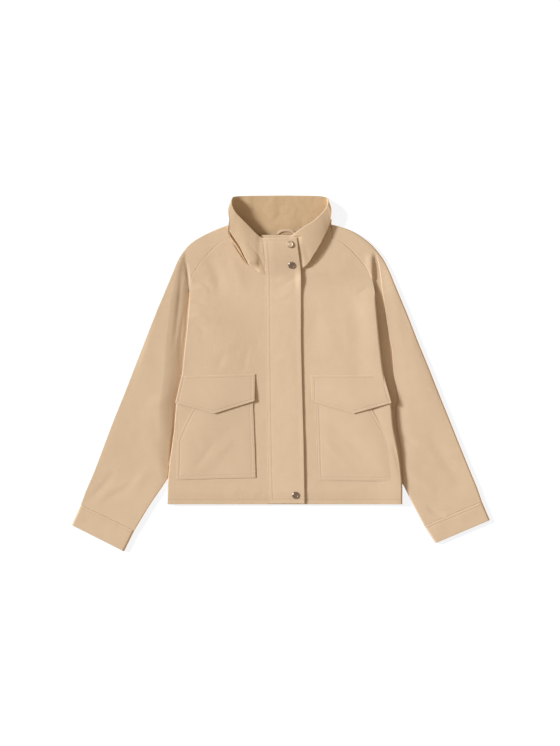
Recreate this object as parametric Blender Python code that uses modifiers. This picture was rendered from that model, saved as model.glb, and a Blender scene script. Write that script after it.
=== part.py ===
"""Cropped funnel-neck coat in cotton twill, laid flat on its back with the front up.

Metres. X runs from the wearer's right to the wearer's left, Y from hem to collar, Z up from the
surface that the coat lies on. The origin is the middle of the laid-out coat, on that surface.
Each sub-part is a wall of cloth: the back pieces rest on the surface, the front pieces lie on
them, and the sleeves are tucked a little way under the sides of the body, which rise over them.
"""

import math

import bmesh
import bpy
from mathutils import Vector

CLOTH = 0.0028  # wall of the body and sleeves
COLLAR_CLOTH = 0.0030
PLACKET_CLOTH = 0.0030
POCKET_CLOTH = 0.0016
FLAP_CLOTH = 0.0024
CUFF_CLOTH = 0.0031
SEAM_GAP = 0.0004  # between pieces that are sewn together
CUFF_GAP = 0.0006
LAYER_GAP = 0.0007  # between a pocket's layers, whose walls follow a curved panel
AIR = 0.0036  # between the front and the back of the flat coat
STACK = 2 * CLOTH + AIR  # height of the flat body and of a flat sleeve
CUFF_STACK = 2 * CUFF_CLOTH + AIR
TUCK_STACK = 0.0081  # height of a sleeve where the body lies on it
LEAST_STACK = 0.0062  # height of a sleeve at the bottom of a fold
LIFT = TUCK_STACK + 0.0006  # how far the sides of the body rise over the tucked sleeves
LIFT_MARGIN = 0.006  # the lifted strip reaches this far past the tucked sleeve
LIFT_RAMP = 0.110  # width over which the body comes down from there
FOLD = 0.0046  # radius of the folds at the sides of the body and the edges of the sleeves
LIP = 0.0010  # upright strip of cloth at a fold's seam
FOLD_ANGLES = (0, 45, 90)  # degrees round a fold
UNDERLAP_DROP = CLOTH + SEAM_GAP  # the underlap lies this far below the other front
UNDERLAP_RISE = (-0.010, 0.036)  # between these X it comes up to the other front's height
COLLAR_DROP = 0.0030  # the same at the foot of the collar

HEM_Y = -0.2935
UNDERARM_Y = 0.186
APEX_Y = 0.267  # top of the fold between sleeve and body
NECK_CORNER_Y = 0.218  # the fronts' neck seam starts here
SIDES = {"left": 1, "right": -1}  # the wearer's side, and the sign of X there

# (y, distance from the middle) down the side of the body
SIDE_EDGE = {
    "left": [(0.186, 0.210), (0.110, 0.217), (0.051, 0.223), (-0.007, 0.231), (-0.066, 0.246),
             (-0.120, 0.252), (-0.178, 0.263), (-0.239, 0.271), (HEM_Y, 0.272)],
    "right": [(0.186, 0.206), (0.126, 0.209), (0.051, 0.217), (-0.007, 0.223), (-0.070, 0.235),
              (-0.124, 0.240), (-0.169, 0.246), (-0.228, 0.253), (HEM_Y, 0.256)],
}
# (y, distance from the middle) of the bottom of the fold between sleeve and body
GROOVE = {
    "left": [(APEX_Y, 0.2090), (0.240, 0.2095), (0.213, 0.2095), (UNDERARM_Y, 0.2100)],
    "right": [(APEX_Y, 0.2150), (0.240, 0.2120), (0.213, 0.2085), (UNDERARM_Y, 0.2060)],
}
# (y, how far the sleeve is tucked under the body)
TUCK = [(0.150, 0.0), (0.120, 0.028), (0.075, 0.055), (0.015, 0.071), (-0.055, 0.069),
        (-0.120, 0.048), (-0.180, 0.026), (-0.236, 0.004)]
# (y, share of the lift) down the sides of the body
LIFT_SHARE = [(0.190, 0.0), (0.178, 0.12), (0.165, 0.45), (0.152, 0.82), (0.138, 1.0), (-0.225, 1.0),
              (-0.243, 0.85), (-0.272, 0.25), (HEM_Y, 0.0)]
BODY_LEVELS = [HEM_Y, -0.270, -0.248, -0.225, -0.172, -0.118, -0.062, -0.006, 0.048, 0.100, 0.138, 0.152,
               0.164, 0.176]
FRONT_EDGE_X = {"left": (-0.036, -0.041), "right": (-0.027, -0.030)}  # at the hem and at the neck
# shoulders of the fronts: (neck seam x, y, raglan seam x, y), from the front edge to the neck
SHOULDER_ROWS = {
    "left": [(-0.0410, NECK_CORNER_Y, 0.2100, UNDERARM_Y), (0.0050, 0.2220, 0.2040, 0.212),
             (0.0430, 0.2260, 0.1950, 0.230), (0.0730, 0.2410, 0.1730, 0.258),
             (0.0960, 0.2630, 0.1430, 0.288), (0.1080, 0.2890, 0.1170, 0.3035)],
    "right": [(-0.0300, NECK_CORNER_Y, -0.2060, UNDERARM_Y), (-0.0450, 0.2235, -0.2020, 0.212),
              (-0.0570, 0.2300, -0.1940, 0.230), (-0.0770, 0.2460, -0.1730, 0.258),
              (-0.0960, 0.2750, -0.1450, 0.288), (-0.1100, 0.2960, -0.1175, 0.3045)],
}
BACK_SHOULDER_LEVELS = [0.204, 0.222, 0.240, 0.260, 0.281, 0.303]
BACK_NECK_BOW = 0.0066  # the back neck seam rises this far in the middle
# sleeves: (inner distance, inner y, outer distance, outer y), from the neck to the cuff seam
SLEEVE_ROWS = {
    "left": [(0.1176, 0.3043, 0.1165, 0.334), (0.1436, 0.2887, 0.1560, 0.321),
             (0.1737, 0.2586, 0.1970, 0.294), (0.1958, 0.2305, 0.2260, 0.261),
             (0.2049, 0.2123, 0.2430, 0.229), (0.2109, 0.1860, 0.2550, 0.200),
             (0.2138, 0.1560, 0.2680, 0.169), (0.1910, 0.1180, 0.2850, 0.128),
             (0.1640, 0.0630, 0.3060, 0.074), (0.1570, 0.0000, 0.3290, 0.018),
             (0.1740, -0.0610, 0.3540, -0.045), (0.2040, -0.1290, 0.3810, -0.112),
             (0.2370, -0.1920, 0.4050, -0.172), (0.2730, -0.2430, 0.4240, -0.220),
             (0.2980, -0.2930, 0.4370, -0.257), (0.3235, -0.3405, 0.4483, -0.2875)],
    "right": [(0.1181, 0.3052, 0.1188, 0.334), (0.1455, 0.2887, 0.1540, 0.320),
              (0.1737, 0.2586, 0.2010, 0.294), (0.1948, 0.2305, 0.2285, 0.261),
              (0.2029, 0.2123, 0.2430, 0.229), (0.2069, 0.1860, 0.2550, 0.200),
              (0.2091, 0.1560, 0.2680, 0.169), (0.1870, 0.1180, 0.2850, 0.128),
              (0.1620, 0.0630, 0.3060, 0.074), (0.1560, 0.0000, 0.3280, 0.018),
              (0.1710, -0.0610, 0.3525, -0.045), (0.1980, -0.1290, 0.3795, -0.112),
              (0.2270, -0.1850, 0.4020, -0.172), (0.2570, -0.2290, 0.4200, -0.220),
              (0.2950, -0.2935, 0.4360, -0.262), (0.3315, -0.3510, 0.4475, -0.2935)],
}
SHOULDER_FOLD = {"run": 0.045, "out": 0.004, "width": 0.006}
UNDERARM_BLEND = 0.040  # length over which that fold turns into the one beside the body
TUCK_SLOPE = 0.012  # width over which the sleeve comes up from under the body
ARM_FOLD_DEPTH = 0.0028
LEFT_ARM_FOLD = {"groove": 0.006, "groove_width": 0.007, "ridge": 0.026, "ridge_width": 0.013,
                 "ridge_height": 0.0016}
RIGHT_ARM_SLOPE = 0.058  # on this side the sleeve falls gently towards the body
SLEEVE_SHARES = (0.05, 0.10, 0.16, 0.24, 0.36, 0.52, 0.76)  # columns beyond the body's edge
SLEEVE_STEPS = [2, 2, 2, 2, 2, 2, 2, 2, 1, 1, 1, 1, 1, 1, 1]
ROUND_FROM_Y = {"body": 0.168, "sleeve": 0.070}  # below this an inner or side edge is rounded
CUFF_ENDS = {  # the open end of the cuff, in the same columns
    "left": (0.3458, -0.3815, 0.4689, -0.3312),
    "right": (0.3526, -0.3985, 0.4691, -0.3393),
}
# collar halves: (bottom x, y, z, top x, y, z, bulge), from the front end round the side to the
# centre back; the bottom is the neck seam, the top the free edge, and z is the outer face
COLLAR_ROWS = {
    "left": [(-0.039, 0.2213, STACK - COLLAR_DROP, -0.044, 0.3105, 0.0174, 0.0086),
             (-0.010, 0.2225, STACK - COLLAR_DROP, -0.018, 0.3105, 0.0174, 0.0086),
             (0.012, 0.2242, STACK - COLLAR_DROP * 0.8, 0.004, 0.3103, 0.0184, 0.0090),
             (0.033, 0.2265, STACK - COLLAR_DROP * 0.3, 0.021, 0.3095, 0.0208, 0.0098),
             (0.053, 0.2312, STACK, 0.033, 0.3165, 0.0230, 0.0100),
             (0.0735, 0.2422, STACK, 0.051, 0.3290, 0.0240, 0.0096),
             (0.0955, 0.2640, STACK, 0.069, 0.3400, 0.0244, 0.0090),
             (0.1062, 0.2862, STACK, 0.0840, 0.3520, 0.0236, 0.0082),
             (0.1128, 0.3005, 0.0090, 0.0925, 0.3605, 0.0222, 0.0076),
             (0.1150, 0.3160, 0.0080, 0.0995, 0.3700, 0.0184, 0.0060),
             (0.1156, 0.3290, 0.0046, 0.1045, 0.3810, 0.0124, 0.0034),
             (0.1152, 0.3190, 0.0012, 0.1062, 0.3895, 0.0046, 0.0008),
             (0.1140, 0.3072, 0.0000, 0.1030, 0.3950, 0.0006, 0.0),
             (0.0950, 0.3068, 0.0000, 0.0900, 0.3980, 0.0000, 0.0),
             (0.0750, 0.3082, 0.0000, 0.0750, 0.3990, 0.0000, 0.0),
             (0.0400, 0.3100, 0.0000, 0.0400, 0.3994, 0.0000, 0.0),
             (0.0062, 0.3112, 0.0000, 0.0062, 0.3996, 0.0000, 0.0)],
    "right": [(-0.0300, 0.2195, STACK + 0.0006, -0.0300, 0.3040, 0.0226, 0.0100),
              (-0.0455, 0.2243, STACK + 0.0004, -0.0420, 0.3042, 0.0230, 0.0100),
              (-0.0575, 0.2313, STACK, -0.0550, 0.3130, 0.0240, 0.0098),
              (-0.0775, 0.2473, STACK, -0.0710, 0.3290, 0.0246, 0.0092),
              (-0.0960, 0.2762, STACK, -0.0850, 0.3430, 0.0240, 0.0086),
              (-0.1076, 0.2926, STACK, -0.0970, 0.3550, 0.0226, 0.0080),
              (-0.1140, 0.3032, 0.0090, -0.1032, 0.3625, 0.0206, 0.0072),
              (-0.1165, 0.3170, 0.0080, -0.1082, 0.3725, 0.0166, 0.0054),
              (-0.1172, 0.3290, 0.0046, -0.1116, 0.3840, 0.0112, 0.0030),
              (-0.1166, 0.3190, 0.0012, -0.1116, 0.3920, 0.0042, 0.0006),
              (-0.1150, 0.3074, 0.0000, -0.1070, 0.3965, 0.0004, 0.0),
              (-0.0950, 0.3068, 0.0000, -0.0920, 0.3984, 0.0000, 0.0),
              (-0.0750, 0.3082, 0.0000, -0.0750, 0.3990, 0.0000, 0.0),
              (-0.0400, 0.3100, 0.0000, -0.0400, 0.3994, 0.0000, 0.0),
              (0.0056, 0.3112, 0.0000, 0.0056, 0.3996, 0.0000, 0.0)],
}
# (share of the collar's height, share of the bulge): the left half hangs over its neck seam
COLLAR_SWELL = {
    "left": [(0.0, 0.0), (0.10, 0.04), (0.20, 0.20), (0.30, 0.66), (0.42, 0.92), (0.60, 1.0),
             (0.80, 0.66), (1.0, 0.0)],
    "right": [(0.0, 0.0), (0.10, 0.30), (0.20, 0.60), (0.32, 0.88), (0.45, 1.0), (0.60, 0.98),
              (0.80, 0.66), (1.0, 0.0)],
}
COLLAR_SIDE_BULGE = {"left": 0.0050, "right": 0.0040}
COLLAR_SIDE_ROW = {"left": 10, "right": 8}  # the row at the outermost fold
COLLAR_HEIGHTS = [0.0, 0.10, 0.20, 0.30, 0.44, 0.62, 0.82, 1.0]

# storm placket: (y, left x, right x)
PLACKET_ROWS = [(-0.2920, -0.0280, 0.0530), (-0.170, -0.0310, 0.0510), (-0.052, -0.0330, 0.0480),
                (0.074, -0.0340, 0.0450), (0.200, -0.0350, 0.0450), (0.218, -0.0350, 0.0450),
                (0.230, -0.0355, 0.0442), (0.242, -0.0360, 0.0430), (0.254, -0.0367, 0.0415),
                (0.266, -0.0376, 0.0398), (0.279, -0.0388, 0.0382), (0.292, -0.0400, 0.0368),
                (0.3042, -0.0410, 0.0355)]
# (y, height of the placket's underside over its height on the body)
PLACKET_RISE = [(0.200, 0.0), (0.218, 0.0008), (0.230, 0.0058), (0.242, 0.0114), (0.254, 0.0162),
                (0.266, 0.0192), (0.279, 0.0202), (0.292, 0.0190), (0.3042, 0.0162)]

# pockets: (y, inner distance, outer distance) of the back layer, and of the front layer, whose
# slanted outer edge is the hand entry
POCKET_BASE = {
    "left": [(-0.018, 0.0740, 0.2300), (-0.068, 0.0765, 0.2415), (-0.160, 0.0790, 0.2495),
             (-0.2385, 0.0815, 0.2565)],
    "right": [(-0.018, 0.0640, 0.2240), (-0.066, 0.0635, 0.2325), (-0.150, 0.0595, 0.2335),
              (-0.2345, 0.0560, 0.2345)],
}
POCKET_FRONT = {
    "left": [(-0.022, 0.0740, 0.1710), (-0.050, 0.0755, 0.1840), (-0.081, 0.0770, 0.2030),
             (-0.120, 0.0782, 0.2262), (-0.160, 0.0795, 0.2500), (-0.200, 0.0805, 0.2535),
             (-0.2400, 0.0815, 0.2570)],
    "right": [(-0.022, 0.0640, 0.1700), (-0.050, 0.0637, 0.1830), (-0.081, 0.0630, 0.1975),
              (-0.129, 0.0605, 0.2195), (-0.157, 0.0595, 0.2325), (-0.200, 0.0578, 0.2338),
              (-0.2360, 0.0560, 0.2350)],
}
POCKET_FOOT_DROP = {"left": 0.0010, "right": 0.0045}  # the outer bottom corner hangs lower
POCKET_BASE_STEPS = [2, 4, 3]
POCKET_FRONT_STEPS = [1, 1, 2, 2, 2, 2]
POCKET_COLUMNS = 12
# flap: (distance from the middle, y) of its corners along the seam and along its pointed foot
FLAP_SEAM = {"left": [(0.0665, -0.0040), (0.2300, -0.0040)], "right": [(0.0585, -0.0010), (0.2235, -0.0060)]}
FLAP_FOOT = {"left": [(0.0685, -0.0620), (0.1620, -0.0900), (0.2472, -0.0662)],
             "right": [(0.0595, -0.0620), (0.1500, -0.0900), (0.2372, -0.0652)]}
FLAP_COLUMNS = 7  # in each half
FLAP_SHARES = [0.0, 0.06, 0.12, 0.19, 0.26, 0.5, 0.75, 1.0]
FLAP_SEAM_DEPTH = 0.004  # the flap lies on the body this far, then rises over the pocket
FLAP_RISE_DEPTH = 0.012

SNAPS = {"snap_collar_top": (0.0200, 0.2890), "snap_collar_base": (0.0235, 0.2425),
         "snap_hem": (0.0320, -0.2730)}
SNAP_RADIUS = 0.0080
SNAP_PROFILE = [(0.90, 0.0), (1.0, 0.0007), (1.0, 0.0014), (0.88, 0.0024), (0.55, 0.0030)]
SNAP_STEPS = 18
LOOP_ENDS = (-0.0070, 0.0300)
LOOP_Y = 0.3125
LOOP_REACH = 0.0085
LOOP_WIDTH = 0.0050
LOOP_CLOTH = 0.0016
LOOP_SEGMENTS = 12

TWILL = (0.680, 0.493, 0.323)
TWILL_SHADE = (0.650, 0.466, 0.300)
SNAP_METAL = (0.300, 0.260, 0.210)


def smooth(share):
    share = min(max(share, 0.0), 1.0)
    return share * share * (3 - 2 * share)


def read(table, key, column=1):
    """A smooth value from a table whose rows start with a key, held at its ends."""
    rows = sorted(table)
    if key <= rows[0][0]:
        return rows[0][column]
    if key >= rows[-1][0]:
        return rows[-1][column]
    above = next(i for i, row in enumerate(rows) if row[0] > key)
    low, high = rows[above - 1], rows[above]
    before, after = rows[max(above - 2, 0)], rows[min(above + 1, len(rows) - 1)]
    span, rise = high[0] - low[0], high[column] - low[column]
    slope_low = (high[column] - before[column]) / (high[0] - before[0])
    slope_high = (after[column] - low[column]) / (after[0] - low[0])
    share = (key - low[0]) / span
    bend = (1 - share) * (slope_low * span - rise) - share * (slope_high * span - rise)
    return low[column] + rise * share + share * (1 - share) * bend


def blend_rows(rows, steps):
    """Rows of numbers with smooth ones between them: steps says how many for each interval."""
    result = []
    for i, count in enumerate(steps):
        before, low = rows[max(i - 1, 0)], rows[i]
        high, after = rows[i + 1], rows[min(i + 2, len(rows) - 1)]
        for step in range(count):
            t = step / count
            row = []
            for a, b, c, d in zip(before, low, high, after):
                curve = t * (2 * a - 5 * b + 4 * c - d + t * (3 * (b - c) + d - a))
                row.append(b + 0.5 * t * (c - a + curve))
            result.append(row)
    return result + [list(rows[-1])]


def side_of(x):
    return "left" if x > 0 else "right"


def side_line(side, y):
    """Distance from the middle of the body's side edge, or of the fold above the underarm."""
    return read(SIDE_EDGE[side] if y <= UNDERARM_Y else GROOVE[side], y)


def body_lift(x, y):
    """Height of the underside of the back: the sides rise over the tucked sleeves."""
    inside = side_line(side_of(x), y) - abs(x) - read(TUCK, y) - LIFT_MARGIN
    return LIFT * read(LIFT_SHARE, y) * (1 - smooth(inside / LIFT_RAMP))


def front_height(x, y):
    return body_lift(x, y) + STACK


def underlap_height(x, y):
    """The left front dips under the placket, so that the right front can lie on its edge."""
    start, end = UNDERLAP_RISE
    return front_height(x, y) - UNDERLAP_DROP * (1 - smooth((x - start) / (end - start)))


def bell(distance, width):
    return math.exp(-(distance / width) ** 2)


def sleeve_height(x, y):
    """Top of the sleeve: a fold runs from the shoulder to the underarm and on beside the body."""
    side = side_of(x)
    out = abs(x) - side_line(side, y)
    depth = (STACK - LEAST_STACK) * smooth((APEX_Y - y) / SHOULDER_FOLD["run"])
    shoulder = STACK - depth * bell(out - SHOULDER_FOLD["out"], SHOULDER_FOLD["width"])
    arm = STACK - (STACK - TUCK_STACK) * (1 - smooth((out + 0.004) / TUCK_SLOPE))
    if side == "left":
        arm -= ARM_FOLD_DEPTH * bell(out - LEFT_ARM_FOLD["groove"], LEFT_ARM_FOLD["groove_width"])
        ridge = bell(out - LEFT_ARM_FOLD["ridge"], LEFT_ARM_FOLD["ridge_width"])
        arm += LEFT_ARM_FOLD["ridge_height"] * ridge
    else:
        arm -= ARM_FOLD_DEPTH * (1 - smooth(out / RIGHT_ARM_SLOPE)) * smooth((out + 0.006) / 0.008)
    below = smooth((UNDERARM_Y - y) / UNDERARM_BLEND + 0.5)
    return max(shoulder + (arm - shoulder) * below, LEAST_STACK)


def no_height(x, y):
    return 0.0


def material(name, colour, metallic=0.0, roughness=0.85):
    made = bpy.data.materials.new(name)
    made.use_nodes = True
    shader = made.node_tree.nodes["Principled BSDF"]
    shader.inputs["Base Color"].default_value = (*colour, 1)
    shader.inputs["Metallic"].default_value = metallic
    shader.inputs["Roughness"].default_value = roughness
    return made


def sheet(name, rows, thickness, colour, facing=None, grow="in", closed=False):
    """A surface through rows of points, given its thickness inwards, or outwards from a face that
    lies on something. facing says which way the middle of the surface looks."""
    middle, column = len(rows) // 2, (len(rows[0]) - 1) // 2
    start = rows[middle][column]
    normal = (rows[middle][column + 1] - start).cross(rows[middle - 1][column] - start)
    if facing is not None and normal.dot(facing) > 0:
        rows = [row[::-1] for row in rows]
    mesh = bmesh.new()
    grid = [[mesh.verts.new(point) for point in row] for row in rows]
    across = len(grid[0])
    for lower, upper in zip(grid, grid[1:]):
        for i in range(across if closed else across - 1):
            j = (i + 1) % across
            mesh.faces.new((lower[i], lower[j], upper[j], upper[i]))
    data = bpy.data.meshes.new(name)
    mesh.to_mesh(data)
    mesh.free()
    data.shade_smooth()
    piece = bpy.data.objects.new(name, data)
    coat.objects.link(piece)
    data.materials.append(material(name, colour))
    solid = piece.modifiers.new("cloth thickness", "SOLIDIFY")
    solid.thickness = thickness
    solid.offset = -1 if grow == "in" else 1
    solid.use_even_offset = True
    return piece


def fold_share(y, piece):
    """How far the outer face of an edge is folded down at y: a little less in the first row."""
    depth = ROUND_FROM_Y[piece] - y
    return 0.0 if depth < 0 else 0.60 if depth < 0.012 else 1.0


def fold_places(fold, length):
    """(distance from the edge, share of the fall) over a rounded fold with an upright lip. Where
    fold is 0 they are spread flat, so that each row of a panel has the same number of points, and
    where it is None the panel has a plain edge."""
    if fold is None:
        return [(0.0, 0.0)]
    if fold == 0:
        flat = min(FOLD, length / 8)
        return [(flat * i / len(FOLD_ANGLES), 0.0) for i in range(len(FOLD_ANGLES) + 1)]
    angles = [math.radians(degrees) for degrees in FOLD_ANGLES]
    return [(0.0, fold)] + [(FOLD * (1 - math.cos(a)), fold * (1 - math.sin(a))) for a in angles]


def lay(name, rows, columns, heights, face):
    """A panel of the flat coat, whose face "top" or "bottom" is its outer one. rows hold (inner
    point, outer point, fold in, fold out)."""
    top, bottom = heights
    outward = 1 if face == "top" else -1
    surface = []
    for inner, outer, fold_in, fold_out in rows:
        length = (outer - inner).length
        start, end = fold_places(fold_in, length), fold_places(fold_out, length)
        places = start + [(place, 0.0) for place in columns(inner, outer, start[-1][0], end[-1][0])]
        places += [(length - place, fall) for place, fall in reversed(end)]
        points = []
        for i, (place, fall) in enumerate(places):
            spot = inner + (outer - inner) * (place / length)
            upper, lower = top(spot.x, spot.y), bottom(spot.x, spot.y)
            own = upper if face == "top" else lower
            lip = 0.0 if i in (0, len(places) - 1) else LIP
            seam = (upper + lower) / 2 + outward * (SEAM_GAP / 2 + lip)
            points.append(Vector((spot.x, spot.y, own + (seam - own) * fall)))
        surface.append(points)
    return sheet(name, surface, CLOTH, TWILL, facing=Vector((0, 0, outward)))


def even_columns(shares):
    """Columns at the same shares of every row."""
    def columns(inner, outer, start, end):
        room = (outer - inner).length - start - end
        return [start + room * share for share in shares]
    return columns


def ramp_places(y, length, edge):
    """Distances in from a side edge that follow the lifted strip and its ramp."""
    flat = max(read(TUCK, y) + LIFT_MARGIN, 0.012)
    scale = min(1.0, length * 0.8 / (flat + LIFT_RAMP))
    spots = [flat * 0.5] + [flat + LIFT_RAMP * step for step in (0, 0.2, 0.4, 0.6, 0.8, 1.0)]
    return [edge + (spot - FOLD) * scale for spot in spots]


def front_columns(inner, outer, start, end):
    length = (outer - inner).length
    spots = [length - place for place in reversed(ramp_places(outer.y, length, end))]
    reach = spots[0]
    return [start + (reach - start) * share for share in (0.16, 0.32, 0.48, 0.66, 0.84)] + spots


def back_columns(inner, outer, start, end):
    length = (outer - inner).length
    left = ramp_places(inner.y, length / 2, start)
    right = [length - place for place in reversed(ramp_places(outer.y, length / 2, end))]
    return left + [length / 2] + right


def back_panel():
    """The back rests on the surface, and its sides lie on the tucked sleeves."""
    rows = []
    for y in BODY_LEVELS + [UNDERARM_Y]:
        fold = fold_share(y, "body")
        ends = [Vector((sign * read(SIDE_EDGE[side], y), y)) for side, sign in reversed(SIDES.items())]
        rows.append((*ends, fold, fold))
    raglan = {side: [(row[3], row[2]) for row in SHOULDER_ROWS[side]] for side in SIDES}
    for y in BACK_SHOULDER_LEVELS:
        ends = [Vector((read(raglan[side], y), y)) for side in ("right", "left")]
        rows.append((*ends, 0.0, 0.0))
    back = lay("back_panel", rows, back_columns, (front_height, body_lift), "bottom")
    neck_y = max(vertex.co.y for vertex in back.data.vertices)
    neck = [vertex for vertex in back.data.vertices if vertex.co.y > neck_y - 0.0001]
    half = max(abs(vertex.co.x) for vertex in neck)
    for vertex in neck:
        vertex.co.y += BACK_NECK_BOW * (1 - (vertex.co.x / half) ** 2)


def front_rows(side):
    sign = SIDES[side]
    at_hem, at_neck = FRONT_EDGE_X[side]
    rows = []
    for y in BODY_LEVELS:
        height = (y - HEM_Y) / (UNDERARM_Y - HEM_Y)
        inner = Vector((at_hem + (at_neck - at_hem) * height, y + (NECK_CORNER_Y - UNDERARM_Y) * height ** 2))
        outer = Vector((sign * read(SIDE_EDGE[side], y), y))
        rows.append((inner, outer, None, fold_share(y, "body")))
    shoulder = SHOULDER_ROWS[side]
    for neck_x, neck_y, raglan_x, raglan_y in blend_rows(shoulder, [2] * (len(shoulder) - 1)):
        rows.append((Vector((neck_x, neck_y)), Vector((raglan_x, raglan_y)), None, 0.0))
    return rows


def front_panels():
    lay("front_right", front_rows("right"), front_columns, (front_height, body_lift), "top")
    lay("front_left", front_rows("left"), front_columns, (underlap_height, body_lift), "top")


def sleeve_columns(inner, outer, start, end):
    """Places across a sleeve that follow the fold beside the body."""
    length = (outer - inner).length
    side = side_of(inner.x)
    crossing = start
    for percent in range(100):
        spot = inner.lerp(outer, percent / 100)
        if abs(spot.x) < side_line(side, spot.y) and spot.y < APEX_Y:
            crossing = length * percent / 100
    crossing = max(min(crossing, length * 0.6), start + 0.004)
    room = length - end - crossing
    spots = [start + (crossing - start) * 0.6, crossing]
    return spots + [crossing + room * share for share in SLEEVE_SHARES]


def sleeves():
    """Front and back pieces, joined along the outer and the inner edge of the flat sleeve."""
    for side, sign in SIDES.items():
        rows = []
        for inner_x, inner_y, outer_x, outer_y in blend_rows(SLEEVE_ROWS[side], SLEEVE_STEPS):
            ends = [Vector((sign * inner_x, inner_y)), Vector((sign * outer_x, outer_y))]
            rows.append((*ends, fold_share(inner_y, "sleeve"), 1.0))
        heights = (sleeve_height, no_height)
        lay(f"sleeve_front_{side}", rows, sleeve_columns, heights, "top")
        lay(f"sleeve_back_{side}", rows, even_columns((0.2, 0.5, 0.8)), heights, "bottom")


def cuffs():
    """A closed band round each sleeve end, flattened."""
    half = CUFF_STACK / 2
    for side, sign in SIDES.items():
        seam, end = SLEEVE_ROWS[side][-1], CUFF_ENDS[side]
        along = Vector((end[0] - seam[0], end[1] - seam[1])).normalized() * CUFF_GAP
        surface = []
        for share in (0.0, 0.5, 1.0):
            inner_x, inner_y, outer_x, outer_y = (a + (b - a) * share for a, b in zip(seam, end))
            shift = along * (1 - share)
            inner = Vector((inner_x + shift.x, inner_y + shift.y))
            outer = Vector((outer_x + shift.x, outer_y + shift.y))
            width = (outer - inner).length
            bend = [(half * (1 - math.sin(math.radians(turn))), half * (1 + math.cos(math.radians(turn))))
                    for turn in range(0, 181, 30)]
            ring = bend[::-1] + [(width * 0.5, CUFF_STACK)]
            ring += [(width - place, height) for place, height in bend] + [(width * 0.5, 0.0)]
            points = []
            for place, height in ring:
                spot = inner.lerp(outer, place / width)
                points.append(Vector((spot.x * sign, spot.y, height)))
            surface.append(points if sign < 0 else points[::-1])
        sheet(f"cuff_{side}", surface, CUFF_CLOTH, TWILL, closed=True)


def collar():
    """Each half runs from the front round the side fold to the centre back, which lies flat."""
    for side, sign in SIDES.items():
        rows = COLLAR_ROWS[side]
        surface = []
        for i, row in enumerate(blend_rows(rows, [2] * (len(rows) - 1))):
            bottom, top, bulge = Vector(row[:3]), Vector(row[3:6]), row[6]
            nearness = math.exp(-((i / 2 - COLLAR_SIDE_ROW[side]) / 1.3) ** 2)
            points = []
            for share in COLLAR_HEIGHTS:
                point = bottom.lerp(top, share)
                point.z = max(point.z + bulge * read(COLLAR_SWELL[side], share), 0.0)
                point.x += sign * COLLAR_SIDE_BULGE[side] * nearness * math.sin(math.pi * share ** 2)
                points.append(point)
            surface.append(points if sign < 0 else points[::-1])
        sheet(f"collar_{side}", surface, COLLAR_CLOTH, TWILL_SHADE)


def placket_underside(y):
    return STACK + SEAM_GAP + read(PLACKET_RISE, y)


def storm_placket():
    """A double strip from the hem to the top of the collar, over the meeting of the fronts."""
    surface = []
    for y, left, right in PLACKET_ROWS:
        height = placket_underside(y)
        surface.append([Vector((x, y, height)) for x in (left, (left + right) / 2, right)])
    sheet("storm_placket", surface, PLACKET_CLOTH, TWILL, facing=Vector((0, 0, 1)), grow="out")


def pocket_layer(name, side, table, steps, base, colour):
    """A patch that follows the front panel, at a height of base over it."""
    sign = SIDES[side]
    surface = []
    for y, inner, outer in blend_rows(table[side], steps):
        points = []
        for i in range(POCKET_COLUMNS + 1):
            share = i / POCKET_COLUMNS
            x = sign * (inner + (outer - inner) * share)
            level = y - POCKET_FOOT_DROP[side] * share * smooth((-y - 0.16) / 0.06)
            points.append(Vector((x, level, front_height(x, level) + base)))
        surface.append(points)
    sheet(name, surface, POCKET_CLOTH, colour, facing=Vector((0, 0, 1)), grow="out")


def pocket_flap(side, base):
    """Sewn to the body along its top edge, the flap then rises over the pocket."""
    sign = SIDES[side]
    start, end = (Vector(corner) for corner in FLAP_SEAM[side])
    inner, point, outer = (Vector(corner) for corner in FLAP_FOOT[side])
    surface = []
    for i in range(2 * FLAP_COLUMNS + 1):
        share = i / FLAP_COLUMNS
        foot = inner.lerp(point, share) if share <= 1 else point.lerp(outer, share - 1)
        seam = start.lerp(end, share / 2)
        points = []
        for down in FLAP_SHARES:
            spot = seam.lerp(foot, down)
            x, y = sign * spot.x, spot.y
            rise = smooth(((spot - seam).length - FLAP_SEAM_DEPTH) / FLAP_RISE_DEPTH)
            points.append(Vector((x, y, front_height(x, y) + LAYER_GAP + base * rise)))
        surface.append(points)
    sheet(f"pocket_flap_{side}", surface, FLAP_CLOTH, TWILL, facing=Vector((0, 0, 1)), grow="out")


def pockets():
    layer = LAYER_GAP + POCKET_CLOTH
    for side in SIDES:
        pocket_layer(f"pocket_base_{side}", side, POCKET_BASE, POCKET_BASE_STEPS, LAYER_GAP, TWILL_SHADE)
        pocket_layer(f"pocket_front_{side}", side, POCKET_FRONT, POCKET_FRONT_STEPS, LAYER_GAP + layer, TWILL)
        pocket_flap(side, 2 * layer)


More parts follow.
